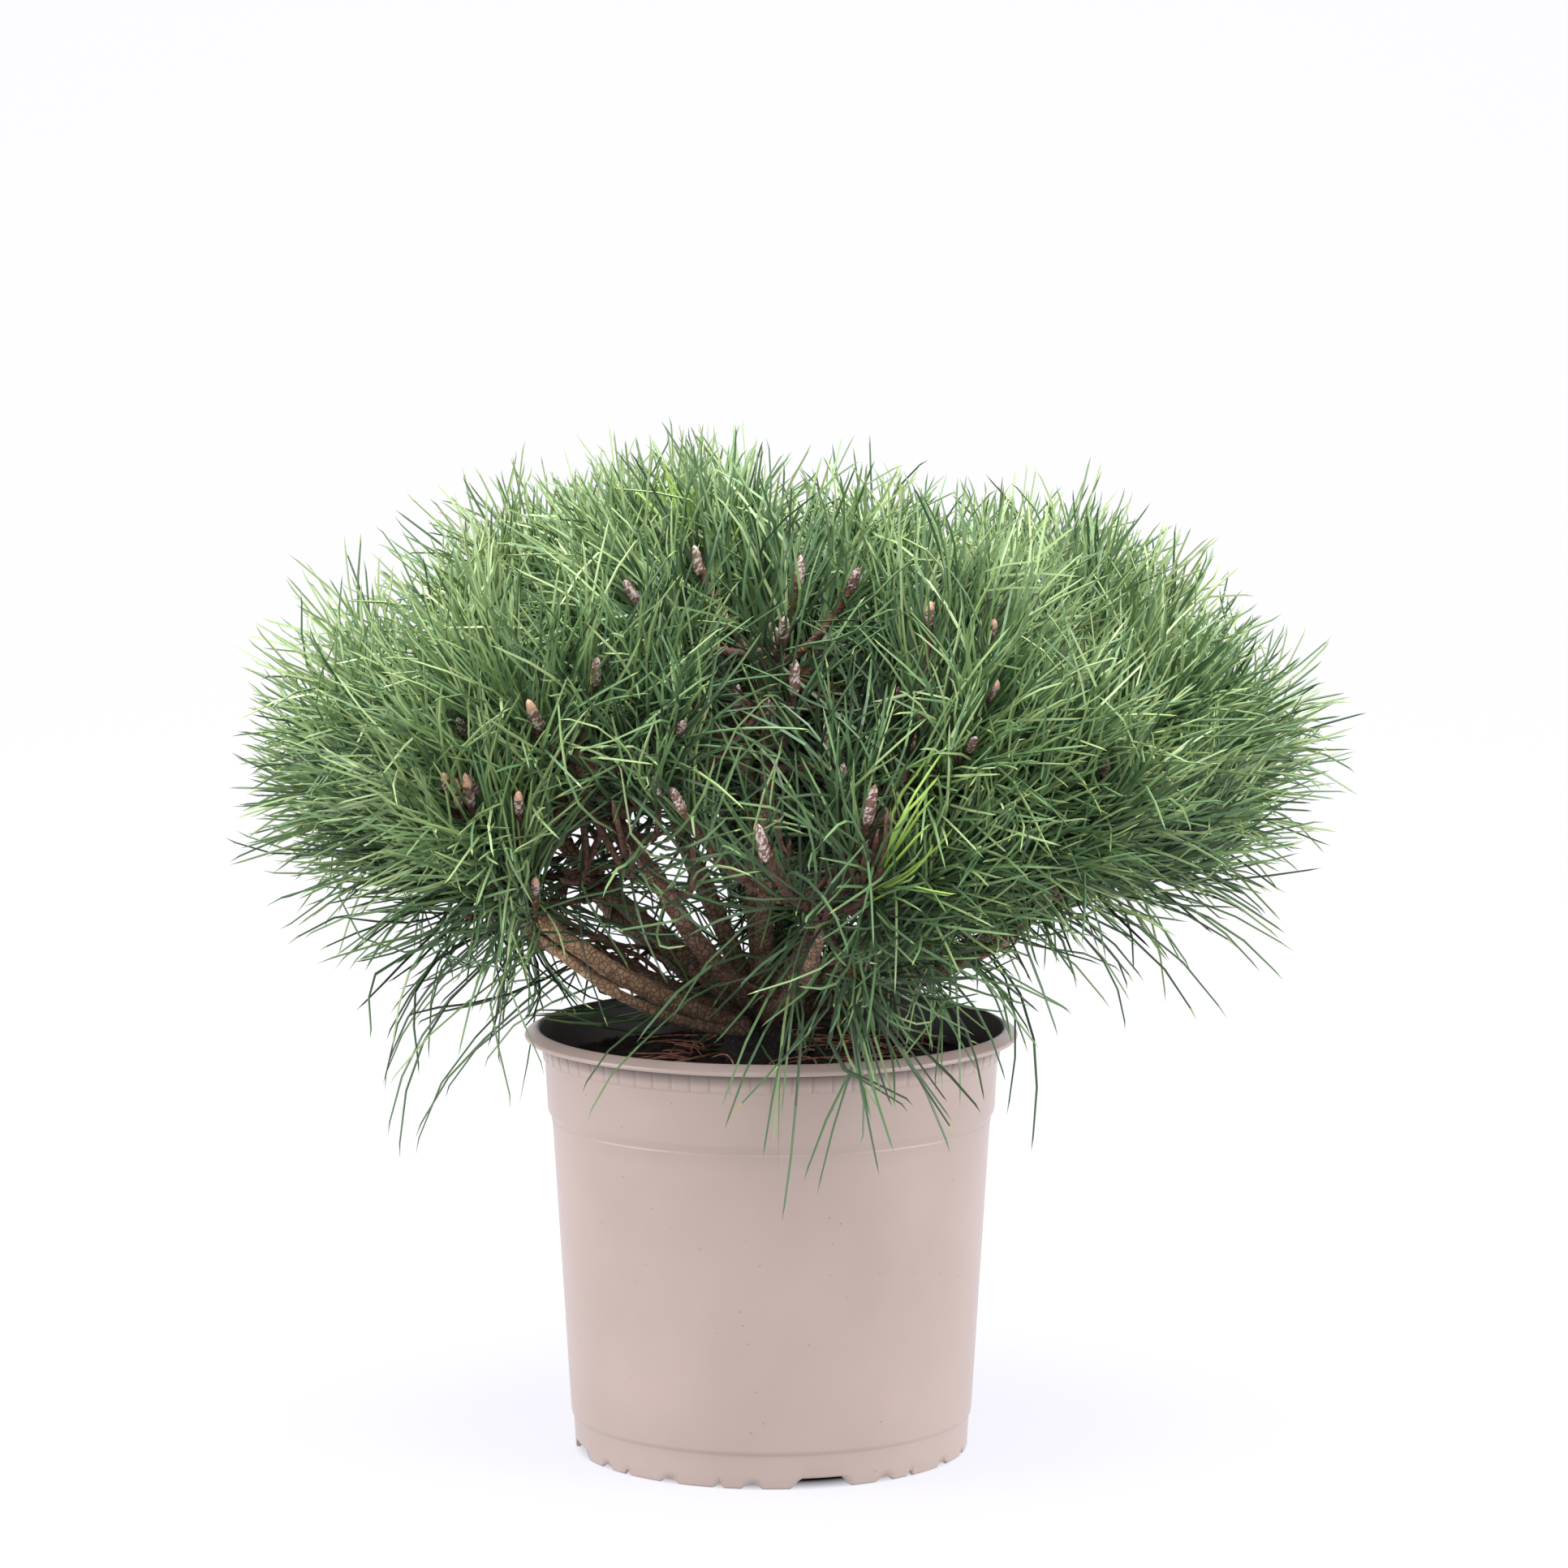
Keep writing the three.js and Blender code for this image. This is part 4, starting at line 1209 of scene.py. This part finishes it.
def needle_paths(shoot, pairs, length):
    """The two needles of every pair on a shoot, as (needles, points, 3)."""
    rng = shoot["rng"]
    lowness, curly = shoot["lowness"], shoot["curly"]
    hangs = float(shoot["hangs"])
    pairs = shoot["pairs"] or round(pairs * mix(1.0, LOW_PAIRS, lowness))
    pairs = round(pairs * INNER_PAIRS) if shoot["inner"] else pairs
    share = (np.arange(pairs) + rng.uniform(0, 1, pairs)) / pairs
    leafy_from = 1 - min(LEAFY_MOST, LEAFY / shoot["length"])
    leafy_to = 1 - min(BUD_FOOT_MOST, BUD_FOOT / shoot["length"])
    root, axis, first, second = shoot_frame(shoot, mix(leafy_from, leafy_to, share**0.8))
    turn = np.arange(pairs) * GOLDEN_TURN + rng.normal(0, 0.25, pairs)
    out = np.cos(turn)[:, None] * first + np.sin(turn)[:, None] * second
    leave = np.radians(mix(*LEAVE_ANGLES, share) + 3 * hangs + rng.normal(0, LEAVE_VARIES, pairs))
    aim = np.cos(leave)[:, None] * axis + np.sin(leave)[:, None] * out
    aim[:, 2] += TURN_UP * (1 - lowness)
    size = length * mix(*LONGER_AT, share) * rng.uniform(0.8, 1.14, pairs)
    size = size * shoot["longer"] * mix(1.0, LOW_LONGER, lowness)
    bend = mix(*BENDS, rng.uniform(0, 1, pairs) ** 1.3) * mix(1.0, LOW_BENT, lowness) * curly
    bend_way = rng.normal(0, mix(*BEND_RANDOM, lowness), (pairs, 3))
    bend_way = bend_way + axis * mix(*BEND_ONWARD, lowness)
    bend_way[:, 2] += mix(*BEND_UP, lowness)
    late = rng.uniform(0.5, 1.4, pairs)[:, None, None]
    mids = (NEEDLE_SHARES[1:] + NEEDLE_SHARES[:-1])[None, :, None] / 2
    steps = np.diff(NEEDLE_SHARES)[None, :, None]
    weight = (SAG + LOW_SAG * lowness + shoot["fall"]) * rng.uniform(0.4, 1.6, pairs)
    wave = rng.normal(0, 0.26, pairs)[:, None, None] * np.sin(2 * np.pi * mids)
    paths = []
    for hand in (-1, 1):
        part = np.cross(axis, out) * hand * rng.uniform(0.02, 0.12, pairs)[:, None]
        heading = unit(aim + part + rng.normal(0, 0.04, (pairs, 3)))
        aside = bend_way + part * 4 + rng.normal(0, 0.35, (pairs, 3))
        aside = unit(aside - (aside * heading).sum(-1, keepdims=True) * heading)
        turned = (bend * rng.uniform(0.8, 1.2, pairs))[:, None, None] * mids**late + wave
        ways = np.cos(turned) * heading[:, None] + np.sin(turned) * aside[:, None]
        ways[..., 2] -= weight[:, None] * mids[..., 0] ** mix(2.0, 1.4, hangs)
        reach = size * rng.uniform(0.94, 1.04, pairs)
        travel = np.cumsum(unit(ways) * steps, axis=1) * reach[:, None, None]
        paths.append(np.concatenate([root[:, None], root[:, None] + travel], axis=1))
    paths = np.concatenate(paths)
    return keep_clear(paths[stays_open(shoot, paths)], rng)


def stays_open(shoot, paths):
    """Which needles of a shoot leave the openings open, or are among the few that may cross them."""
    chance = shoot["rng"].uniform(0, 1, len(paths))
    dense = [mix(paths[:, :-1], paths[:, 1:], share) for share in (0, 0.25, 0.5, 0.75)]
    dense = np.concatenate(dense, axis=1)
    shown = seen_from_camera(dense)
    openings = [] if shoot["hangs"] or shoot["curly"] >= CURLY else list(OPENINGS)
    openings += [(place, *STEM_OPENING) for place in STEMS_SHOWN]
    for place, length, *_ in FRONT_BUDS:
        middle = np.array(place, float) - np.array([0, 0, length * BUD_OPENING_DOWN])
        back = middle[1] + BUD_OPENING_BACK
        openings.append((seen_from_camera(middle), BUD_OPENING * length, BUD_CROSSING, back))
    kept = np.ones(len(paths), bool)
    for centre, half, crossing, back in openings:
        inside = (((shown - np.array(centre)) / half) ** 2).sum(axis=-1) < 1
        kept &= ~(inside & (dense[..., 1] < back)).any(axis=1) | (chance < crossing)
    return kept


def seen_from_camera(points):
    """Where the photograph's camera sees points, as across and up in the plane of the pot's axis."""
    nearer = CAMERA_BACK / (CAMERA_BACK + points[..., 1])
    across = points[..., 0] * nearer
    up = CAMERA_HEIGHT + (points[..., 2] - CAMERA_HEIGHT) * nearer
    return np.stack([across, up], axis=-1)


def keep_clear(paths, rng):
    """Bends needles out of the container and up from the compost, and back into the frame's box."""
    low = np.array(CAD_BOX[0]) / MM + 1
    high = np.array(CAD_BOX[1]) / MM - 1
    root = paths[:, :1]
    spans = paths - root
    with np.errstate(divide="ignore", invalid="ignore"):
        room = np.where(spans > 0, (high - root) / spans, (low - root) / spans)
    room = np.where(np.abs(spans) < 1e-6, np.inf, room).min(axis=(1, 2))
    short = np.where(room < 1, room * rng.uniform(0.8, 1, len(room)), 1)
    paths = root + spans * np.clip(short, 0.3, 1)[:, None, None]
    for _ in range(3):
        moved = off_the_pot(paths)
        eased = moved.copy()
        eased[:, 1:-1] = moved[:, 1:-1] / 2 + (moved[:, :-2] + moved[:, 2:]) / 4
        touched = (np.abs(moved - paths).max(axis=(1, 2)) > 0.01)[:, None, None]
        paths = np.where(touched, eased, moved)
    return off_the_pot(paths)


def off_the_pot(paths):
    """The needles' points moved out of the container's wall, over its rim and up from the compost."""
    paths = paths.copy()
    height = paths[..., 2].copy()
    away = np.linalg.norm(paths[..., :2], axis=-1)
    below_collar = mix(FOOT_RADIUS, BAND_RADIUS + 2, height / COLLAR_FOOT)
    wall = np.where(height > COLLAR_FOOT, LIP_RADIUS, below_collar) + 1.5
    outside = np.maximum.accumulate(away > LIP_RADIUS - 6, axis=1)
    push = np.where((height < POT_HEIGHT + 2) & outside & (away < wall), wall / away, 1)
    paths[..., :2] *= push[..., None]
    over_rim = (away > RIM_NEAR) & (away < LIP_RADIUS + 2)
    lowest = np.where(over_rim, POT_HEIGHT + 1.5, np.where(outside, -np.inf, SOIL_TOP + 3.5))
    paths[..., 2] = np.maximum(height, lowest)
    return paths


def needle_tones(shoot, count):
    """The green of every needle of a shoot, round the shoot's own, which is lighter high up, as painted
    light from above, and deeper inside the crown and in the hollow at the front, as painted shade."""
    rng = shoot["rng"]
    into_hollow = np.linalg.norm((seen_from_camera(shoot["bud"]) - HOLLOW) / HOLLOW_SIZE)
    # Painted light: shoots higher up take a lighter green.
    green = np.interp(shoot["bud"][2], GREEN_AT, GREENS) + rng.normal(0, SHOOT_VARIES)
    # Painted shade: deeper greens in the hollow at the front and on the inner shoots.
    green -= HOLLOW_SHADE * math.exp(-(into_hollow**2)) + INNER_SHADE * shoot["inner"]
    if shoot["hangs"] or shoot["curly"] >= CURLY:
        green = HANGING_GREEN
    if shoot["young"]:
        return np.full(count, YOUNG)
    greens = np.round(green + rng.normal(0, NEEDLE_VARIES, count)).astype(int)
    return np.clip(greens, 0, YOUNG - 1)


def needle_groups(shoots, boughs, triangles_per_shoot):
    """Sets of neighbouring masses whose needles fit in one piece."""
    groups, total = [[]], 0
    for own in range(len(boughs)):
        load = triangles_per_shoot * sum(1 for shoot in shoots if shoot["mass"] == own)
        if total + load > PIECE_TRIANGLES:
            groups.append([])
            total = 0
        groups[-1].append(own)
        total += load
    return groups


# Settings and operators.


def length_setting(name, description, default, least):
    """A setting for a length, of which the default and the least are given in millimetres."""
    limits = {"default": default * MM, "min": least * MM}
    return FloatProperty(name=name, description=description, unit="LENGTH", subtype="DISTANCE", **limits)


def colour_setting(name, description, code):
    """A setting for a colour, of which the default is given as sRGB hex."""
    limits = {"default": linear(code), "min": 0.0, "max": 1.0}
    return FloatVectorProperty(name=name, description=description, subtype="COLOR", **limits)


class MugoSizes(bpy.types.PropertyGroup):
    """Sizes of the plant's parts that a user would change."""

    needle_length: length_setting(
        "Needle length", "Length of a needle at the foot of a shoot", 92, 20
    )
    needle_width: length_setting("Needle width", "Width of a needle at its middle", 1.34, 0.5)
    needle_pairs: IntProperty(
        name="Needle pairs", description="Number of needle pairs on each shoot", default=48, min=1
    )
    shoots: IntProperty(
        name="Shoots",
        description="Number of shoots tried on the dome, with the frame's own ones first",
        default=290,
        min=FRAME_SHOOTS,
    )
    inner_depth: length_setting(
        "Inner depth", "How far inside the dome the finer shoots end", 34, 0
    )
    bud_length: length_setting("Bud length", "Length of a winter bud", 19, 2)
    bud_width: length_setting("Bud width", "Width of a winter bud", 5.4, 1)


class MugoColours(bpy.types.PropertyGroup):
    """Colours that a user would change."""

    pot: colour_setting("Pot", "Colour of the pot's plastic", "A6958A")
    floor: colour_setting("Floor", "Colour of the paper sweep that the pot stands on", "F9F8FF")


class MUGO_OT_pot(bpy.types.Operator):
    """Models the nursery pot"""

    bl_idname = "mugo.pot"
    bl_label = "Pot"

    def execute(self, context):
        plastic = pot_plastic(tuple(context.scene.mugo_colours.pot))
        lining = two_tone("dark_pot_lining", "342C29", "4A413D", 40, 0.05, 0.5, IOR=1.49)
        dress(piece_from("nursery_pot", shape_pot(), plastic, lining), "moulded_pot", "pot")
        return {"FINISHED"}


class MUGO_OT_soil(bpy.types.Operator):
    """Models the compost and the litter on it"""

    bl_idname = "mugo.soil"
    bl_label = "Soil"

    def execute(self, context):
        rng = np.random.default_rng(SEED)
        compost = two_tone("peat_and_bark_compost", "0E0A08", "32221A", 2.4, 1.2, 0.95)
        dress(piece_from("compost", shape_soil(), compost), "potting_soil", "soil")
        fibre = two_tone("reddish_root_fibre", "8A4E38", "C8927A", 3, 0.1, 0.8)
        straw = two_tone("dry_fallen_needle", "6E4E34", "A88258", 4, 0.1, 0.7)
        for name, count, length, curl, radius, finish in (
            ("root_fibres", 64, 40, 1.3, 0.42, fibre),
            ("fallen_needles", 14, 52, 0.3, 0.6, straw),
        ):
            paths = litter_paths(count, length, curl, rng)
            radii = np.full((count, 8, 4), radius)
            points, triangles, _, _ = tubes(paths, radii)
            piece = mesh_piece(name, points, triangles, [finish], np.zeros(len(triangles)))
            dress(piece, "potting_soil")
        return {"FINISHED"}


class MUGO_OT_wood(bpy.types.Operator):
    """Models the trunk and the boughs with their bark"""

    bl_idname = "mugo.wood"
    bl_label = "Trunk and boughs"

    def execute(self, context):
        # The trunk's bark is a darker copy of the boughs' bark: painted shade under the crown.
        trunk_bark = flaky_bark("shaded_trunk_bark", "2A1F18", "43322A", "66503F")
        bark = flaky_bark("flaky_pine_bark", "6A5040", "9C7C62", "C8AA8C")
        worn = flaky_bark("weathered_stub_bark", "8A6A4E", "B8946F", "DCC09C", 0.25)
        boughs = grow_boughs()
        dress(piece_from("trunk_bark", shape_trunk(), trunk_bark), "pine_bark", "trunk")
        nodes = [f"bough_{bough['name']}" for bough in boughs]
        dress(piece_from("bough_bark", shape_boughs(boughs), bark, worn), "pine_bark", *nodes)
        return {"FINISHED"}


class MUGO_OT_shoots(bpy.types.Operator):
    """Models the shoots' scaly twigs and the winter buds at their tips"""

    bl_idname = "mugo.shoots"
    bl_label = "Shoots and buds"

    def execute(self, context):
        sizes = context.scene.mugo_sizes
        shoots = grow_shoots(grow_boughs(), sizes.shoots, sizes.inner_depth / MM)
        barks = [
            two_tone("scaly_young_bark", "2E1C16", "70503E", 1.8, 0.9, 0.8),
            two_tone("dry_bract_orange", "7A4A2C", "B88250", 1.8, 0.6, 0.75),
        ]
        shown = [shoot for shoot in shoots if shoot["bud_length"]]
        hidden = [shoot for shoot in shoots if not shoot["bud_length"]]
        for name, some, rings, sides, scaliness in (
            ("shoot_twigs", hidden, 18, 6, 0.2),
            ("front_twigs", shown, 72, 9, 0.26),
        ):
            points, triangles, outer = shoot_stems(some, rings, sides, scaliness)
            indices = outer * (name == "front_twigs")
            dress(mesh_piece(name, points, triangles, barks, indices), "pine_bark")
        finishes = [
            two_tone("bud_scale_brown", "5A3C32", "92705F", 1.6, 0.3, 0.6),
            two_tone("bud_resin_white", "9C8F86", "D8D0C8", 1.6, 0.3, 0.5),
            two_tone("bud_tip_pink", "C09070", "ECC4A4", 1.6, 0.3, 0.55),
        ]
        budded = [
            shoot
            for shoot in shoots
            if (shoot["bud_length"] or shoot["bud"][2] > BUDS_ABOVE) and not shoot["covered"]
        ]
        size = (sizes.bud_length / MM, sizes.bud_width / MM)
        points, triangles, bud_of, ring_of = bud_shapes(budded, *size)
        rng = np.random.default_rng(SEED)
        white = rng.uniform(0, 1, len(triangles)) < WHITE_SCALES
        pink = (ring_of > PINK_ABOVE) & np.array([shoot["pink"] for shoot in budded])[bud_of]
        tones = np.where(pink, 2, np.where(white, 1, 0))
        dress(mesh_piece("winter_buds", points, triangles, finishes, tones), "pine_bark")
        return {"FINISHED"}


class MUGO_OT_needles(bpy.types.Operator):
    """Models every shoot's needles, in pairs, as a few joined pieces"""

    bl_idname = "mugo.needles"
    bl_label = "Needles"

    def execute(self, context):
        sizes = context.scene.mugo_sizes
        boughs = grow_boughs()
        shoots = grow_shoots(boughs, sizes.shoots, sizes.inner_depth / MM)
        finishes = [waxy_needle(name, code) for name, code in NEEDLE_GREENS]
        finishes += [waxy_needle(*NEEDLE_TIP), waxy_needle(*NEEDLE_SHEATH)]
        tip, sheath = len(finishes) - 2, len(finishes) - 1
        rings = len(NEEDLE_PROFILE)
        per_shoot = 2 * sizes.needle_pairs * (2 * NEEDLE_SIDES * rings - 2)
        for number, group in enumerate(needle_groups(shoots, boughs, per_shoot)):
            paths, tones, tipped = [], [], []
            for shoot in shoots:
                if shoot["mass"] not in group:
                    continue
                made = needle_paths(shoot, sizes.needle_pairs, sizes.needle_length / MM)
                paths.append(made)
                tones.append(needle_tones(shoot, len(made)))
                tipped.append(shoot["rng"].uniform(0, 1, len(made)) < YELLOW_TIPS)
            paths, tones, tipped = map(np.concatenate, (paths, tones, tipped))
            widths = np.random.default_rng(number).uniform(0.85, 1.12, len(paths))
            radii = widths[:, None, None] * NEEDLE_PROFILE[None, :, None]
            radii = np.repeat(radii * sizes.needle_width / MM * 0.56, NEEDLE_SIDES, axis=2)
            points, triangles, needle_of, ring_of = tubes(paths, radii, flatness=0.85)
            indices = tones[needle_of]
            # Painted shade: a needle's lower rings take the next deeper green.
            shaded = (ring_of <= SHADED_RINGS) & (indices < YOUNG)
            indices = np.where(shaded, np.maximum(indices - 1, 0), indices)
            indices = np.where((ring_of == rings - 1) & tipped[needle_of], tip, indices)
            indices = np.where(ring_of == 0, sheath, indices)
            piece = mesh_piece(f"needles_{number + 1}", points, triangles, finishes, indices, False)
            nodes = [f"needles_{boughs[own]['name']}" for own in group]
            dress(piece, "pine_needles", *nodes)
        return {"FINISHED"}


# The paper glows evenly, so what stands on it throws only a faint shadow.
PAPER_SHADE = 0.06
PAPER_GLOW = 0.88
LIGHT_TINT = "F7F5FF"
AIR_TINT = "F3F3FA"
AIR_GLOW = 0.66

# Lights: name, place and aim in metres, size in metres, power in watts.
LIGHTS = (
    ("left_bank", (-2.6, -0.6, 1.2), (0, 0, 0.25), 2.2, 84),
    ("right_bank", (2.6, -0.6, 1.2), (0, 0, 0.25), 2.2, 82),
    ("overhead_bank", (0, -0.5, 2.8), (0, 0, 0.3), 2.2, 205),
    ("front_bank", (0.3, -3.6, 1.9), (0, 0, 0.3), 2.0, 40),
)


def glowing_paper(colour):
    """Matt white paper that glows, but for a painted shadow under the pot's foot, where the glow fades
    out.
    """
    material, tree, coords = new_material("matt_white_paper")
    # Painted shadow: the glow fades to nothing under the pot's foot.
    fade = {"From Min": (FOOT_RADIUS - 16) * MM, "From Max": (FOOT_RADIUS + 1) * MM}
    fade.update({"To Min": 0.0, "To Max": PAPER_GLOW})
    lit = add_node(tree, "MapRange", None, fade, {"Value": from_axis(tree, coords)})
    values = {
        "Base Color": (*[c * PAPER_SHADE for c in colour], 1),
        "Roughness": 0.9,
        "Emission Color": (*colour, 1),
    }
    return add_shader(material, values, {"Emission Strength": lit})


def shape_sweep():
    """The paper, flat on the floor and curved up behind the plant."""
    bm = bmesh.new()
    half, back, rise, radius = 6.0, 3.0, 6.0, 1.5
    rim = [(-6.0, 0.0), (back - radius, 0.0)]
    for t in np.linspace(0.1, math.pi / 2, 12):
        rim.append((back - radius + radius * math.sin(t), radius - radius * math.cos(t)))
    rim.append((back, rise))
    corners = [bm.verts.new((-half, y, z)) for y, z in rim]
    edges = [bm.edges.new(pair) for pair in zip(corners, corners[1:])]
    swept = bmesh.ops.extrude_edge_only(bm, edges=edges)["geom"]
    moved = [part for part in swept if isinstance(part, bmesh.types.BMVert)]
    bmesh.ops.translate(bm, vec=(2 * half, 0, 0), verts=moved)
    bmesh.ops.recalc_face_normals(bm, faces=bm.faces)
    bmesh.ops.scale(bm, vec=(1 / MM, 1 / MM, 1 / MM), verts=bm.verts)
    return bm


class MUGO_OT_stage(bpy.types.Operator):
    """Sets the paper sweep, the lights and the camera"""

    bl_idname = "mugo.stage"
    bl_label = "Stage"

    def execute(self, context):
        scene = context.scene
        paper = glowing_paper(tuple(scene.mugo_colours.floor))
        piece_from("paper_sweep", shape_sweep(), paper)
        for name, place, aim, size, power in LIGHTS:
            lamp = bpy.data.lights.new(name, "AREA")
            lamp.size = size
            lamp.energy = power
            lamp.color = linear(LIGHT_TINT)
            stand = link(name, lamp)
            stand.location = place
            towards = Vector(aim) - Vector(place)
            stand.rotation_euler = towards.to_track_quat("-Z", "Y").to_euler()
        scene.world = bpy.data.worlds.new("studio_air")
        scene.world.use_nodes = True
        air = scene.world.node_tree.nodes["Background"].inputs
        air["Color"].default_value = (*linear(AIR_TINT), 1)
        air["Strength"].default_value = AIR_GLOW
        camera = bpy.data.cameras.new("photo_camera")
        camera.lens = CAMERA_LENS
        camera.sensor_width = CAMERA_SENSOR
        camera.clip_end = 50
        scene.camera = link("photo_camera", camera)
        scene.camera.location = (0, -CAMERA_BACK * MM, CAMERA_HEIGHT * MM)
        scene.camera.rotation_euler = (math.pi / 2 - CAMERA_PITCH, 0, CAMERA_YAW)
        scene.view_settings.view_transform = "Standard"
        return {"FINISHED"}


class MUGO_PT_panel(bpy.types.Panel):
    """Lists the plant's operators, sizes and colours"""

    bl_idname = "MUGO_PT_panel"
    bl_label = "Mugo Pine"
    bl_space_type = "VIEW_3D"
    bl_region_type = "UI"
    bl_category = "Mugo Pine"

    def draw(self, context):
        layout = self.layout
        for operator in OPERATORS:
            layout.operator(operator.bl_idname)
        for settings in (context.scene.mugo_sizes, context.scene.mugo_colours):
            box = layout.box()
            for name in settings.__annotations__:
                box.prop(settings, name)


OPERATORS = (
    MUGO_OT_stage,
    MUGO_OT_pot,
    MUGO_OT_soil,
    MUGO_OT_wood,
    MUGO_OT_shoots,
    MUGO_OT_needles,
)
CLASSES = (MugoSizes, MugoColours, *OPERATORS, MUGO_PT_panel)


def register():
    for cls in CLASSES:
        bpy.utils.register_class(cls)
    bpy.types.Scene.mugo_sizes = PointerProperty(type=MugoSizes)
    bpy.types.Scene.mugo_colours = PointerProperty(type=MugoColours)


def unregister():
    del bpy.types.Scene.mugo_colours
    del bpy.types.Scene.mugo_sizes
    for cls in reversed(CLASSES):
        bpy.utils.unregister_class(cls)


def main():
    register()
    for operator in OPERATORS:
        group, name = operator.bl_idname.split(".")
        getattr(getattr(bpy.ops, group), name)()


if __name__ == "__main__":
    main()
